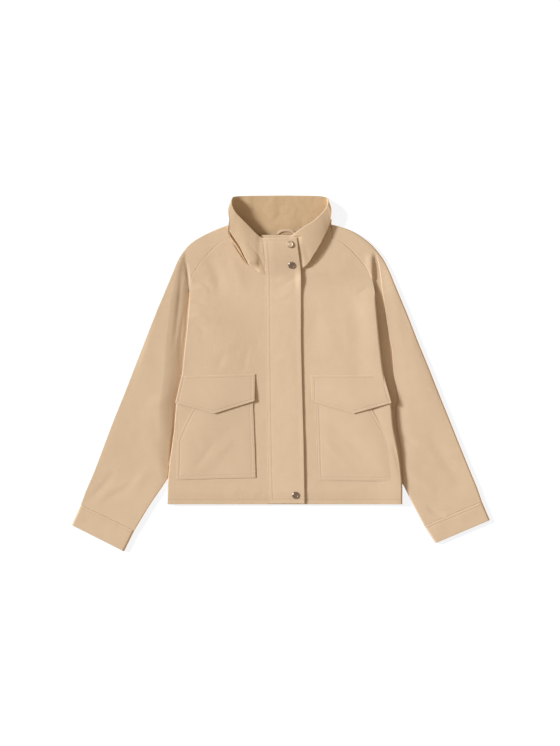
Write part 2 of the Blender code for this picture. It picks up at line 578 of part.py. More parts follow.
def snaps():
    """Metal caps on the placket, turned to lie flat on it."""
    for name, (x, y) in SNAPS.items():
        outline = [(0.0, SNAP_PROFILE[-1][1])]
        outline += [(radius * SNAP_RADIUS, height) for radius, height in reversed(SNAP_PROFILE)]
        outline.append((0.0, SNAP_PROFILE[0][1]))
        mesh = bmesh.new()
        chain = [mesh.verts.new((radius, 0, height)) for radius, height in outline]
        for start, end in zip(chain, chain[1:]):
            mesh.edges.new((start, end))
        data = bpy.data.meshes.new(name)
        mesh.to_mesh(data)
        mesh.free()
        cap = bpy.data.objects.new(name, data)
        coat.objects.link(cap)
        data.materials.append(material(name, SNAP_METAL, metallic=1.0, roughness=0.35))
        turn = cap.modifiers.new("turned", "SCREW")
        turn.steps = turn.render_steps = SNAP_STEPS
        turn.use_merge_vertices = True
        turn.merge_threshold = 0.00001
        slope = (placket_underside(y + 0.004) - placket_underside(y - 0.004)) / 0.008
        normal = Vector((0, -slope, 1)).normalized()
        seat = Vector((x, y, placket_underside(y))) + normal * (PLACKET_CLOTH + SEAM_GAP)
        cap.location = seat
        cap.rotation_euler = normal.to_track_quat("Z", "Y").to_euler()


def hanger_loop():
    """A narrow strip sewn into the back neck seam by both ends."""
    middle, half = sum(LOOP_ENDS) / 2, (LOOP_ENDS[1] - LOOP_ENDS[0]) / 2
    surface = []
    for i in range(LOOP_SEGMENTS + 1):
        angle = math.pi * i / LOOP_SEGMENTS
        x, y = -math.cos(angle), math.sin(angle)
        outward = Vector((x / half, y / LOOP_REACH, 0)).normalized() * LOOP_WIDTH / 2
        centre = Vector((middle + half * x, LOOP_Y + LOOP_REACH * y, COLLAR_CLOTH + SEAM_GAP))
        surface.append([centre - outward, centre + outward])
    sheet("hanger_loop", surface, LOOP_CLOTH, TWILL_SHADE, facing=Vector((0, 0, 1)), grow="out")


for leftover in list(bpy.data.objects):
    bpy.data.objects.remove(leftover, do_unlink=True)
coat = bpy.data.collections.new("funnel_neck_coat")
bpy.context.scene.collection.children.link(coat)

back_panel()
front_panels()
sleeves()
cuffs()
collar()
storm_placket()
pockets()
snaps()
hanger_loop()
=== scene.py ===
"""Cropped funnel-neck winter coat in tan cotton twill, laid flat on its back with the front up.

Metres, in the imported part's frame: +X is the wearer's left, +Y the collar, +Z up from the surface.
The sections follow the coat as it is sewn together, and the studio comes last.
"""

import math

import bmesh
import bpy
import numpy as np
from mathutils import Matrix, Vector, noise


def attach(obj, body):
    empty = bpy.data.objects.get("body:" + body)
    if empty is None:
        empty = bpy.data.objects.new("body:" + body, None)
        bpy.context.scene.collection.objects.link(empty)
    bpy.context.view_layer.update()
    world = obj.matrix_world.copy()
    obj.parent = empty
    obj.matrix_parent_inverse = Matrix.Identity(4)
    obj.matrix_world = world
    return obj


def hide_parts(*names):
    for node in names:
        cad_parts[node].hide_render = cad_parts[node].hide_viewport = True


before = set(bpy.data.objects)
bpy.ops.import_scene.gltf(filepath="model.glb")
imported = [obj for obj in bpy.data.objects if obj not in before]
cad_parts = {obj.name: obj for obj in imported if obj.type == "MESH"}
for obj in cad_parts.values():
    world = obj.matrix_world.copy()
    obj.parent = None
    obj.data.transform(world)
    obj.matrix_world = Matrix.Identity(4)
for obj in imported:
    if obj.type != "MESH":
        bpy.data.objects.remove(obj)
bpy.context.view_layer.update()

# ---- Twill ---------------------------------------------------------------------------------------
# Every piece is cut from one tan cotton twill, matte with a soft bloom, in fine slanted ribs, with painted
# light on their tops and painted shade between them.
# It is a little paler where turned edges rub, its dyed colour is never quite even, and painted shade makes
# its inner face darker and more saturated.


TAN, PALE_TAN = (0.638, 0.460, 0.298), (0.735, 0.560, 0.392)
RIB_PITCH, RIB_LEAN, RIB_WAVER, WAVER_SCALE = 0.0009, (0.86, 0.51, 0.0), 0.9, 260
YARN_SCALE, YARN_WAYS = 420, ((1, 0.09, 1), (0.09, 1, 1))  # warp and weft, drawn out along themselves
RIB_SHARE = 0.55  # the ribs' share of the relief; the rest is the yarn's
# painted light on the ribs' tops, and painted shade in the grooves between them
RIB_TOP_PAINTED_LIGHT, GROOVE_PAINTED_SHADE = 0.10, 0.935  # how much lighter the ribs' tops are, and the shade between them
DYE_CLOUDS = ((7, 2), (46, 3))  # scale and detail of the broad clouds and of the slubs
# painted shade on every piece's inner face: how much darker, and how much more saturated
INSIDE_PAINTED_SHADE, INSIDE_SHADE_SATURATION = 0.10, 0.12
WORN_REACH, WORN_SCALE, WORN_PATCHES = 0.0018, 120, 1.3
RELIEF = 0.0004


def add_node(tree, kind, inputs=None, **settings):
    """A node with its settings, and its inputs: each is a value, or the socket that feeds it."""
    node = tree.nodes.new(kind)
    for label, value in settings.items():
        setattr(node, label, value)
    for label, value in (inputs or {}).items():
        if isinstance(value, bpy.types.NodeSocket):
            tree.links.new(value, node.inputs[label])
        else:
            node.inputs[label].default_value = value
    return node


def node_group(name, inputs, outputs, kind="ShaderNodeTree"):
    """A node group with named sockets: its tree, the sockets that it is given, and its end."""
    tree = bpy.data.node_groups.new(name, kind)
    for label, socket, value in inputs:
        made = tree.interface.new_socket(label, in_out="INPUT", socket_type=socket)
        if value is not None:
            made.default_value = value
    for label, socket in outputs:
        tree.interface.new_socket(label, in_out="OUTPUT", socket_type=socket)
    return tree, tree.nodes.new("NodeGroupInput").outputs, tree.nodes.new("NodeGroupOutput").inputs


def maths(tree, operation, *values, **settings):
    """A Math node whose inputs are numbers or sockets; returns its output."""
    node = add_node(tree, "ShaderNodeMath", dict(enumerate(values)), operation=operation, **settings)
    return node.outputs[0]


def noise_at(tree, place, scale, detail, stretch=(1, 1, 1)):
    """Noise on a place, which may be stretched along one direction of the cloth."""
    mapping = add_node(tree, "ShaderNodeMapping", {"Scale": stretch, "Vector": place})
    cloud = {"Scale": scale, "Detail": detail, "Vector": mapping.outputs[0]}
    return add_node(tree, "ShaderNodeTexNoise", cloud).outputs["Fac"]


def weave_group():
    """Slanted ribs crossed by the threads: a height, and a painted shade that is lighter where it is higher.
    """
    tree, given, end = node_group(
        "twill_weave",
        [("Place", "NodeSocketVector", None), ("Rib pitch", "NodeSocketFloat", RIB_PITCH)],
        [("Height", "NodeSocketFloat"), ("Shade", "NodeSocketFloat")])
    place = given["Place"]
    slant = add_node(tree, "ShaderNodeVectorMath", {0: place, 1: RIB_LEAN}, operation="DOT_PRODUCT")
    turns = maths(tree, "DIVIDE", slant.outputs["Value"], given["Rib pitch"])
    waver = maths(tree, "MULTIPLY", noise_at(tree, place, WAVER_SCALE, 1), RIB_WAVER)
    phase = maths(tree, "MULTIPLY", maths(tree, "ADD", turns, waver), 2 * math.pi)
    ribs = maths(tree, "MULTIPLY_ADD", maths(tree, "SINE", phase), 0.5, 0.5)
    warp, weft = [noise_at(tree, place, YARN_SCALE, 2, way) for way in YARN_WAYS]
    yarn = maths(tree, "MULTIPLY", maths(tree, "ADD", warp, weft), 1 - RIB_SHARE)
    height = maths(tree, "MULTIPLY_ADD", ribs, RIB_SHARE, yarn)
    tree.links.new(height, end["Height"])
    tree.links.new(maths(tree, "MULTIPLY_ADD", height, RIB_TOP_PAINTED_LIGHT, GROOVE_PAINTED_SHADE), end["Shade"])
    return tree


def dye_and_shade_group():
    """The dyed colour, lighter and darker in broad clouds and in small slubs, and paler where worn; it is
    scaled by the ribs' painted shade, and painted shade makes the inner face darker and more saturated."""
    tree, given, end = node_group(
        "uneven_dye_and_painted_shade",
        [("Colour", "NodeSocketColor", (1, 1, 1, 1)), ("Worn colour", "NodeSocketColor", (1, 1, 1, 1)),
         ("Spread", "NodeSocketFloat", 0.06), ("Shade", "NodeSocketFloat", 1.0),
         ("Wear", "NodeSocketFloat", 0.0), ("Inside painted shade", "NodeSocketFloat", 0.0)],
        [("Colour", "NodeSocketColor")])
    spot = add_node(tree, "ShaderNodeTexCoord").outputs["Object"]
    clouds = maths(tree, "ADD", *[noise_at(tree, spot, scale, detail) for scale, detail in DYE_CLOUDS])
    around = maths(tree, "MULTIPLY", maths(tree, "SUBTRACT", clouds, 1.0), given["Spread"])
    value = maths(tree, "MULTIPLY", maths(tree, "ADD", around, 1.0), given["Shade"])
    painted_inside_shade = maths(tree, "MULTIPLY_ADD", given["Inside painted shade"], -INSIDE_PAINTED_SHADE, 1.0)
    painted_inside_saturation = maths(tree, "MULTIPLY_ADD", given["Inside painted shade"], INSIDE_SHADE_SATURATION, 1.0)
    colours = {"Factor": given["Wear"], "A": given["Colour"], "B": given["Worn colour"]}
    rubbed = add_node(tree, "ShaderNodeMix", colours, data_type="RGBA")
    shaded = add_node(tree, "ShaderNodeHueSaturation",
                      {"Color": rubbed.outputs["Result"], "Value": maths(tree, "MULTIPLY", value, painted_inside_shade),
                       "Saturation": painted_inside_saturation})
    tree.links.new(shaded.outputs["Color"], end["Colour"])
    return tree


def rubbed_edge_group():
    """How worn the cloth is at a distance from its turned edge, in patches."""
    tree, given, end = node_group(
        "rubbed_edge",
        [("Distance", "NodeSocketFloat", 1.0), ("Reach", "NodeSocketFloat", WORN_REACH)],
        [("Wear", "NodeSocketFloat")])
    spot = add_node(tree, "ShaderNodeTexCoord").outputs["Object"]
    near = maths(tree, "DIVIDE", given["Distance"], given["Reach"])
    close = maths(tree, "SUBTRACT", 1.0, near, use_clamp=True)
    patches = maths(tree, "MULTIPLY", noise_at(tree, spot, WORN_SCALE, 2), WORN_PATCHES)
    tree.links.new(maths(tree, "MULTIPLY", close, patches), end["Wear"])
    return tree


WEAVE, DYE_AND_SHADE, RUBBED = weave_group(), dye_and_shade_group(), rubbed_edge_group()


def principled(name, **values):
    """A material and its shader, with plain values on the shader's own sockets."""
    made = bpy.data.materials.new(name)
    made.use_nodes = True
    shader = made.node_tree.nodes["Principled BSDF"]
    for label, value in values.items():
        shader.inputs[label.replace("_", " ")].default_value = value
    return made, shader.inputs


def twill(name, colour, worn, spread=0.06, ribs=RIB_PITCH, bump=0.35):
    """Matte twill in its own dyed colour, with painted shade on its ribs and its inner face; its ribs follow
    the piece's cut.
    """
    made, shader = principled(name, Roughness=0.86, Specular_IOR_Level=0.22, Sheen_Weight=0.10,
                              Sheen_Roughness=0.55)
    tree = made.node_tree
    cut = add_node(tree, "ShaderNodeUVMap", uv_map="cut")
    edge = add_node(tree, "ShaderNodeAttribute", attribute_name="edge_distance")
    # the inner face is painted darker and more saturated as shade
    inside = add_node(tree, "ShaderNodeAttribute", attribute_name="inside_shade_mask")
    weave = add_node(tree, "ShaderNodeGroup", {"Place": cut.outputs["UV"], "Rib pitch": ribs},
                     node_tree=WEAVE)
    rubbed = add_node(tree, "ShaderNodeGroup", {"Distance": edge.outputs["Fac"], "Reach": WORN_REACH},
                      node_tree=RUBBED)
    dyed_and_shaded = add_node(tree, "ShaderNodeGroup",
                   {"Colour": (*colour, 1), "Worn colour": (*worn, 1), "Spread": spread,
                    "Shade": weave.outputs["Shade"], "Wear": rubbed.outputs["Wear"],
                    "Inside painted shade": inside.outputs["Fac"]}, node_tree=DYE_AND_SHADE)
    bumps = add_node(tree, "ShaderNodeBump",
                     {"Strength": bump, "Distance": RELIEF, "Height": weave.outputs["Height"]})
    tree.links.new(dyed_and_shaded.outputs["Colour"], shader["Base Color"])
    tree.links.new(bumps.outputs["Normal"], shader["Normal"])
    return made


BODY_TWILL = twill("body_twill_cloth", TAN, PALE_TAN)

# ---- Back ----------------------------------------------------------------------------------------
# One piece of twill from side seam to side seam, turned up twice at the hem. It rests on the surface,
# and its sides ride over the sleeves that are tucked under them.

CLOTH = 0.0014
HEM_CLOTH = 0.0026  # where the hem is turned up
HEM_WIDTH, HEM_STEP = 0.022, 0.003
SEAM_GAP = 0.0004
STACK = 0.0092  # height of the flat coat
LIFT, LIFT_MARGIN, LIFT_RAMP = 0.0087, 0.006, 0.110
FOLD = {"left": 0.0036, "right": 0.0015}  # width of the rounded folds at the sides
CROWN, CROWN_AT_HEM = 0.0052, 0.45  # air inside the middle of the body, and its share at the hem
CROWN_RISE, CROWN_TOP, CROWN_FALL = 0.030, 0.214, 0.080  # how soon it is full, and where it ends
HEM_Y, UNDERARM_Y, APEX_Y, NECK_CORNER_Y = -0.2935, 0.186, 0.267, 0.218
SIDES = {"left": 1, "right": -1}
SIDE_EDGE = {
    "left": [(0.186, 0.210), (0.110, 0.217), (0.051, 0.223), (-0.007, 0.231), (-0.066, 0.246),
             (-0.120, 0.252), (-0.178, 0.263), (-0.239, 0.271), (HEM_Y, 0.272)],
    "right": [(0.186, 0.206), (0.126, 0.209), (0.051, 0.217), (-0.007, 0.223), (-0.070, 0.235),
              (-0.124, 0.240), (-0.169, 0.246), (-0.228, 0.253), (HEM_Y, 0.256)],
}
GROOVE = {
    "left": [(APEX_Y, 0.2090), (0.240, 0.2095), (0.213, 0.2095), (UNDERARM_Y, 0.2100)],
    "right": [(APEX_Y, 0.2150), (0.240, 0.2120), (0.213, 0.2085), (UNDERARM_Y, 0.2060)],
}
TUCK = [(0.150, 0.0), (0.120, 0.028), (0.075, 0.055), (0.015, 0.071), (-0.055, 0.069),
        (-0.120, 0.048), (-0.180, 0.026), (-0.236, 0.004)]
LIFT_SHARE = [(0.214, 0.0), (0.190, 0.12), (0.165, 0.44), (0.142, 0.80), (0.115, 1.0), (-0.100, 1.0),
              (-0.160, 0.92), (-0.210, 0.70), (-0.250, 0.40), (HEM_Y, 0.10)]
RAGLAN = {  # (neck seam x, y, raglan seam x, y), from the underarm to the neck
    "left": [(-0.0410, NECK_CORNER_Y, 0.2100, UNDERARM_Y), (0.0050, 0.2220, 0.2040, 0.212),
             (0.0430, 0.2260, 0.1950, 0.230), (0.0730, 0.2410, 0.1730, 0.258),
             (0.0960, 0.2630, 0.1430, 0.288), (0.1080, 0.2890, 0.1170, 0.3035),
             (0.1110, 0.2990, 0.1145, 0.3055)],
    "right": [(-0.0300, NECK_CORNER_Y, -0.2060, UNDERARM_Y), (-0.0450, 0.2235, -0.2020, 0.212),
              (-0.0570, 0.2300, -0.1940, 0.230), (-0.0770, 0.2460, -0.1730, 0.258),
              (-0.0960, 0.2750, -0.1450, 0.288), (-0.1100, 0.2960, -0.1175, 0.3045),
              (-0.1130, 0.3015, -0.1155, 0.3062)],
}
SIDE_FOLD_TOP, SIDE_FOLD_OVER = 0.180, 0.022  # where the rounded fold ends, below the underarm
SIDE_CLOSED_TOP, SIDE_CLOSED_OVER = 0.192, 0.012  # where the back's edge starts to close the side
BACK_TOP, BACK_COLUMNS, BACK_STEPS = 0.306, 104, (0.0048, 0.0045)  # rows below and above the underarm
UNDER_COLLAR, UNDER_COLLAR_FROM, UNDER_COLLAR_OVER = 0.0007, 0.300, 0.004
BACK_NECK_BOW, NECK_BOW_FROM, NECK_BOW_OVER = 0.0066, 0.270, 0.033
# distances in from an edge where a surface needs points: a plain edge, a stitched one, a fold, a hem
PLAIN_SPOTS = (0, 0.0002, 0.0005, 0.0009, 0.0018, 0.0034)
STITCH_SPOTS = (*PLAIN_SPOTS, 0.0047, 0.0055, 0.0060, 0.0065, 0.0073, 0.0090)
FOLD_SPOTS = (0, 0.00012, 0.00048, 0.00105, 0.0018, 0.0027, 0.0036, 0.0055)
HEM_SPOTS = (0, 0.0002, 0.0006, 0.0012, 0.0022, 0.0045, 0.0070, 0.0084, 0.0090, 0.0095, 0.0100, 0.0106,
             0.0122)
STITCH_DEPTH, STITCH_HALF = 0.00032, 0.0009
# rows of stitches, by their distance from the edge: beside it, inside that one, a single one, the hem's
EDGE_ROW, INNER_ROW, SINGLE_ROW, HEM_ROW = 0.0015, 0.0075, 0.0060, 0.0095
TURNED_EDGE = 0.00008  # half the thickness that is left at the very edge
MOST_SPOTS = 0.42  # the most of a row that the spots at one of its ends may take
SHARP_FROM = math.radians(55)  # steeper edges between faces are not smoothed
ALL_EDGES = ("start", "end", "low", "high")
UP, DOWN = (0, 0, 1), (0, 0, -1)
SEWING = []  # lines of stitches to sew at the end: (points, normals)


def smooth(share):
    """From 0 to 1 without a corner, and held beyond."""
    share = np.clip(share, 0.0, 1.0)
    return share * share * (3 - 2 * share)


def hump(distance, width):
    """1 at a place, fading out on both sides of it."""
    return np.exp(-(distance / width) ** 2)


def quarter_round(share):
    """What is left of the fall at a share of a rounded edge's width: 1 at the edge, 0 beyond."""
    return 1 - np.sqrt(np.clip(1 - (1 - np.clip(share, 0, 1)) ** 2, 0, 1))


def read(table, key, column=1):
    """Smooth values from a table whose rows start with a key, held at its ends."""
    rows = np.array(sorted(table), float)
    keys, values = rows[:, 0], rows[:, column]
    slopes = np.gradient(values)
    slopes[1:-1] = (values[2:] - values[:-2]) / (keys[2:] - keys[:-2])
    slopes[0] = (values[1] - values[0]) / (keys[1] - keys[0])
    slopes[-1] = (values[-1] - values[-2]) / (keys[-1] - keys[-2])
    key = np.clip(np.asarray(key, float), keys[0], keys[-1])
    low = np.clip(np.searchsorted(keys, key, side="right") - 1, 0, len(keys) - 2)
    span, rise = keys[low + 1] - keys[low], values[low + 1] - values[low]
    share = (key - keys[low]) / span
    bend = (1 - share) * (slopes[low] * span - rise) - share * (slopes[low + 1] * span - rise)
    return values[low] + rise * share + share * (1 - share) * bend


def blend_rows(rows, count):
    """Rows of numbers with smooth ones between them, count for each interval."""
    rows = np.array(rows, float)
    result = []
    for i in range(len(rows) - 1):
        a, b, c, d = rows[max(i - 1, 0)], rows[i], rows[i + 1], rows[min(i + 2, len(rows) - 1)]
        for t in np.arange(count) / count:
            result.append(b + 0.5 * t * (c - a + t * (2 * a - 5 * b + 4 * c - d + t * (3 * (b - c) + d - a))))
    return np.array(result + [rows[-1]])


def spread(inner, outer, start, end, count):
    """Points across every row from its inner to its outer end, at the spots that each end needs:
    x, y, and the distances from both ends."""
    length = np.linalg.norm(outer - inner, axis=1)[:, None]
    start, end = np.array(start, float)[None], np.array(end, float)[None]
    scale = np.minimum(1, MOST_SPOTS * length / max(start.max(), end.max(), 1e-6))
    head, tail = start * scale, length - end[:, ::-1] * scale
    share = np.linspace(0, 1, count + 2)[1:-1]
    places = np.hstack([head, head[:, -1:] + (tail[:, :1] - head[:, -1:]) * share, tail])
    spots = inner[:, None] + (outer - inner)[:, None] * (places / length)[..., None]
    return spots[..., 0], spots[..., 1], places, length - places


def levels_between(low, high, step, start=(0,), end=(0,)):
    """Numbers from low to high, at the spots that each end needs and at even steps between."""
    first, last = low + np.array(start), high - np.array(end)[::-1]
    count = max(int((last[0] - first[-1]) / step), 1)
    return np.concatenate([first, np.linspace(first[-1], last[0], count + 1)[1:-1], last])


def edge_points(table, levels, column=1, sign=1):
    """Points of an edge at the levels, from a table whose rows start with y."""
    return np.stack([sign * read(table, levels, column), levels], axis=1)


def side_line(side, y):
    """The side of the body, with the raglan seam's groove above the underarm: how far out it is."""
    return np.where(y <= UNDERARM_Y, read(SIDE_EDGE[side], y), read(GROOVE[side], y))


def body_lift(x, y):
    """How high the back is held by the sleeves that are tucked under it."""
    edge = np.where(x > 0, side_line("left", y), side_line("right", y))
    inside = edge - np.abs(x) - read(TUCK, y) - LIFT_MARGIN
    return LIFT * read(LIFT_SHARE, y) * (1 - smooth(inside / LIFT_RAMP))


def crown(y):
    """Height of the air inside the body, which is mostly pressed out at the hem and at the neck."""
    rise = CROWN_AT_HEM + (1 - CROWN_AT_HEM) * smooth((y - HEM_Y) / CROWN_RISE)
    return CROWN * rise * smooth((CROWN_TOP - y) / CROWN_FALL)


def front_height(x, y):
    """The outer face of the front, without its creases."""
    lift = body_lift(x, y)
    return STACK + lift + crown(y) * (1 - lift / LIFT)


def between(y, low, over_low, high, over_high):
    """1 between two places, rising over one distance and falling over another."""
    return smooth((y - low) / over_low) * smooth((high - y) / over_high)


def drape(x, y, size, seed):
    """Gentle unevenness of laid cloth, from -1 to 1."""
    flat = [noise.noise((a / size, b / size, seed)) for a, b in zip(np.ravel(x), np.ravel(y))]
    return np.array(flat).reshape(np.shape(x))


def uneven(x, y, waves):
    """Height of the waves of laid cloth. Each has a height, a size and a seed."""
    return sum(height * drape(x, y, size, seed) for height, size, seed in waves)


def fold_fall(place, side):
    """Share of the fall to the seam at a distance in from a rounded fold."""
    return quarter_round(place / FOLD[side])


def side_fold(y):
    """1 where the side of the body is a rounded fold, 0 above the underarm."""
    return smooth((SIDE_FOLD_TOP - y) / SIDE_FOLD_OVER)


def along_lines(grid, axis):
    """Distances from the start of every line of a grid, measured along it."""
    legs = np.linalg.norm(np.diff(grid, axis=axis), axis=2)
    return np.concatenate([np.zeros_like(np.take(legs, [0], axis)), np.cumsum(legs, axis)], axis)


def sew_along(surface, normal, reach, border, distance, trims):
    """Adds the line of stitches at a distance from a border of a surface."""
    flip = border in ("end", "high")
    lines = [surface, normal] + [reach[key][..., None] for key in ALL_EDGES]
    block = np.concatenate(lines, axis=2)
    own = 6 + ALL_EDGES.index(border)
    if border in ("low", "high"):
        block = block.transpose(1, 0, 2)
    across = (8, 9) if border in ("start", "end") else (6, 7)
    points, normals = [], []
    for line in block:
        line = line[::-1] if flip else line
        if line[-1, own] <= distance:
            continue
        value = [np.interp(distance, line[:, own], line[:, k]) for k in range(10)]
        if value[across[0]] < trims[0] or value[across[1]] < trims[1]:
            continue
        points.append(value[:3])
        normals.append(value[3:6])
    if len(points) > 2:
        SEWING.append((points, normals))


def put_in_scene(name, data):
    """An object at the origin that shows a mesh, a light or a camera."""
    piece = bpy.data.objects.new(name, data)
    bpy.context.scene.collection.objects.link(piece)
    return piece


def cloth(name, grid, thickness, facing, finish, nodes, edges=ALL_EDGES, sewn=None, at=None,
          closed=False):
    """A shell of cloth through rows of points on its outer face. edges names the borders whose edge
    is turned and rounded, sewn the distances of stitches from a border. facing is the way that
    the outer face looks at the grid place `at`."""
    sewn = sewn or {}
    across, along = np.gradient(grid, axis=1), np.gradient(grid, axis=0)
    if closed:
        across = (np.roll(grid, -1, axis=1) - np.roll(grid, 1, axis=1)) / 2
    normal = np.cross(across, along)
    normal /= np.maximum(np.linalg.norm(normal, axis=2, keepdims=True), 1e-12)
    rows, columns = grid.shape[:2]
    at = at or (rows // 2, columns // 2)
    flipped = normal[at] @ np.array(facing, float) < 0
    normal = -normal if flipped else normal
    u, v = along_lines(grid, 1), along_lines(grid, 0)
    reach = {"start": u, "end": u[:, -1:] - u, "low": v, "high": v[-1:] - v}
    edge = np.full(u.shape, 1.0)
    for border in edges:
        edge = np.minimum(edge, reach[border])
    thickness = np.broadcast_to(np.asarray(thickness, float), u.shape)
    half = thickness / 2
    inset = (half - TURNED_EDGE) * quarter_round(edge / half)
    pressed = np.zeros_like(u)
    for border, distances in sewn.items():
        for distance in distances:
            pressed = np.maximum(pressed, STITCH_DEPTH * hump(reach[border] - distance, STITCH_HALF))
    outer = grid - normal * (inset + pressed)[..., None]
    inner = grid - normal * (thickness - inset)[..., None]
    for face in (outer, inner):  # nothing reaches into the surface that it lies on
        face[..., 2] = np.maximum(face[..., 2], 0.0)
    for border, distances in sewn.items():
        sides = ("low", "high") if border in ("start", "end") else ("start", "end")
        for distance in distances:
            trims = [distance if side in sewn else 0.0 for side in sides]
            sew_along(outer, normal, reach, border, distance, trims)
    count = rows * columns
    vertices = np.concatenate([outer.reshape(-1, 3), inner.reshape(-1, 3)])
    index = np.arange(count).reshape(rows, columns)
    if closed:
        index = np.hstack([index, index[:, :1]])
    a, b, c, d = index[:-1, :-1], index[:-1, 1:], index[1:, 1:], index[1:, :-1]
    top = np.stack([a, b, c, d], axis=-1).reshape(-1, 4)
    faces = [top, top[:, ::-1] + count]
    low, high, first, last = index[0], index[-1], index[:, 0], index[:, -1]
    rims = [(low[1:], low[:-1]), (high[:-1], high[1:])]
    if not closed:
        rims += [(first[:-1], first[1:]), (last[1:], last[:-1])]
    faces += [np.stack([near, far, far + count, near + count], axis=-1) for near, far in rims]
    faces = np.concatenate(faces)
    if flipped:
        faces = faces[:, ::-1]
    data = bpy.data.meshes.new(name)
    data.from_pydata(vertices.tolist(), [], faces.tolist())
    data.update()
    spots = np.concatenate([np.stack([u, v], axis=-1).reshape(-1, 2)] * 2)
    layer = data.uv_layers.new(name="cut")
    layer.data.foreach_set("uv", spots[faces.ravel()].astype(np.float32).ravel())
    # the inner face is marked for its painted shade
    marks = {"edge_distance": np.concatenate([edge.ravel()] * 2), "inside_shade_mask": np.repeat([0.0, 1.0], count)}
    for label, values in marks.items():
        mark = data.attributes.new(label, "FLOAT", "POINT")
        mark.data.foreach_set("value", values.astype(np.float32))
    data.shade_smooth()
    data.set_sharp_from_angle(angle=SHARP_FROM)
    data.materials.append(finish)
    piece = put_in_scene(name, data)
    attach(piece, "root")
    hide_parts(*nodes)
    return piece


def hem_thickness(y):
    """The cloth's thickness, doubled where the hem is turned up."""
    return CLOTH + (HEM_CLOTH - CLOTH) * (1 - smooth((y - HEM_Y - HEM_WIDTH) / HEM_STEP))


def back_grid():
    """The back from its right edge to its left one, up the side seams and then the raglan seams."""
    levels = levels_between(HEM_Y, UNDERARM_Y, BACK_STEPS[0], start=HEM_SPOTS)
    above = levels_between(UNDERARM_Y, BACK_TOP, BACK_STEPS[1], end=PLAIN_SPOTS)[1:]
    borders = []
    for side in ("right", "left"):
        seam = [(y, x) for *_, x, y in RAGLAN[side]]
        below = edge_points(SIDE_EDGE[side], levels, sign=SIDES[side])
        borders.append(np.vstack([below, edge_points(seam, above)]))
    x, y, from_right, from_left = spread(*borders, FOLD_SPOTS, FOLD_SPOTS, BACK_COLUMNS)
    z = body_lift(x, y)
    seam = (front_height(x, y) + z) / 2 - SEAM_GAP / 2
    under_front = front_height(x, y) - CLOTH - SEAM_GAP
    seam = under_front + (seam - under_front) * side_fold(y)
    closed = smooth((SIDE_CLOSED_TOP - y) / SIDE_CLOSED_OVER)
    z += (seam - z) * closed * (fold_fall(from_right, "right") + fold_fall(from_left, "left"))
    z += UNDER_COLLAR * smooth((y - UNDER_COLLAR_FROM) / UNDER_COLLAR_OVER)  # it goes under the collar
    half = np.abs(x[-1]).max()
    y = y + BACK_NECK_BOW * smooth((y - NECK_BOW_FROM) / NECK_BOW_OVER) * (1 - (x / half) ** 2)
    return np.stack([x, y, z], axis=-1)


grid = back_grid()
cloth("back_cloth", grid, hem_thickness(grid[..., 1]), DOWN, BODY_TWILL, ["back_panel"],
      sewn={"low": (HEM_ROW,)})

# ---- Fronts --------------------------------------------------------------------------------------
# Two pieces of the same twill, from the front edge to the side seam and the raglan seam. The left
# front dips under the placket; both carry the soft creases of a coat that was folded.

FRONT_EDGE_X = {"left": (-0.036, -0.041), "right": (-0.027, -0.030)}
UNDERLAP_DROP, UNDERLAP_RISE = 0.0032, (-0.010, 0.036)
NECK_LAP, NECK_DROP = 0.0028, 0.0032  # the neck seam's allowance, and how far it dips under the collar
NECK_DROP_FROM, NECK_DROP_OVER = 0.0012, 0.0026  # where it comes up again
NECK_CENTRE = (0.0, 0.31)
SIDE_PUFF = {"left": 0.0030, "right": 0.0}  # how far the side stands up along the sleeve
PUFF_TOP, PUFF_OVER, PUFF_FROM, PUFF_WIDTH = 0.206, 0.080, 0.004, 0.060  # up and down, and in from the side
FRONT_STEP, FRONT_COLUMNS, SHOULDER_ROWS = 0.0026, 84, 11
CALM_EDGE, CALM_SHARE = 0.010, 0.4  # the creases are calmer near the side
CREASE_ENDS = 0.8  # below 1, a crease keeps its height nearer to its ends
FRONT_WAVES = ((0.00045, 0.085, 3.1), (0.00018, 0.028, 7.7))
FRONT_PUCKERS = ((0.00009, 0.009, 2.4),)
# creases: (path, height, width, how much sharper the side to the right of the path is)
FRONT_CREASES = {
    "right": [
        (((-0.203, 0.212), (-0.178, 0.205), (-0.156, 0.190)), -0.0008, 0.0060, 0.7),
        (((-0.204, 0.190), (-0.180, 0.190), (-0.160, 0.180)), 0.0008, 0.0060, 0.8),
        (((-0.205, 0.160), (-0.184, 0.160), (-0.165, 0.148)), -0.0006, 0.0060, 0.7),
        (((-0.208, 0.112), (-0.187, 0.106), (-0.168, 0.090)), -0.0007, 0.0065, 0.7),
        (((-0.207, 0.128), (-0.180, 0.128), (-0.158, 0.114)), 0.0007, 0.0070, 0.8),
        (((-0.145, 0.002), (-0.134, 0.030), (-0.122, 0.055)), -0.0005, 0.0100, 0.7),
        (((-0.084, 0.002), (-0.079, 0.032), (-0.072, 0.064)), -0.0004, 0.0090, 0.7),
        (((-0.118, -0.286), (-0.106, -0.265), (-0.092, -0.246)), 0.0003, 0.0080, 0.8),
        (((-0.069, -0.286), (-0.056, -0.266), (-0.042, -0.244)), 0.0003, 0.0075, 0.8),
        (((-0.170, 0.262), (-0.145, 0.225), (-0.135, 0.170)), -0.0016, 0.0160, 0.8),
        (((-0.120, 0.270), (-0.100, 0.235), (-0.085, 0.180)), 0.0010, 0.0150, 0.8),
        (((-0.0778, 0.2464), (-0.0933, 0.2704), (-0.1093, 0.2954)), -0.0020, 0.0016, 0.8),
    ],
    "left": [
        (((0.150, 0.180), (0.170, 0.130), (0.185, 0.060)), -0.0012, 0.0200, 0.9),
        (((0.090, 0.200), (0.105, 0.120), (0.110, 0.030)), 0.0009, 0.0220, 0.9),
        (((0.198, 0.190), (0.182, 0.186), (0.168, 0.174)), -0.0007, 0.0060, 0.7),
        (((0.251, -0.162), (0.262, -0.200), (0.268, -0.238)), -0.0014, 0.0060, 0.6),
        (((0.100, -0.250), (0.140, -0.262), (0.190, -0.258)), 0.0007, 0.0090, 0.9),
    ],
}


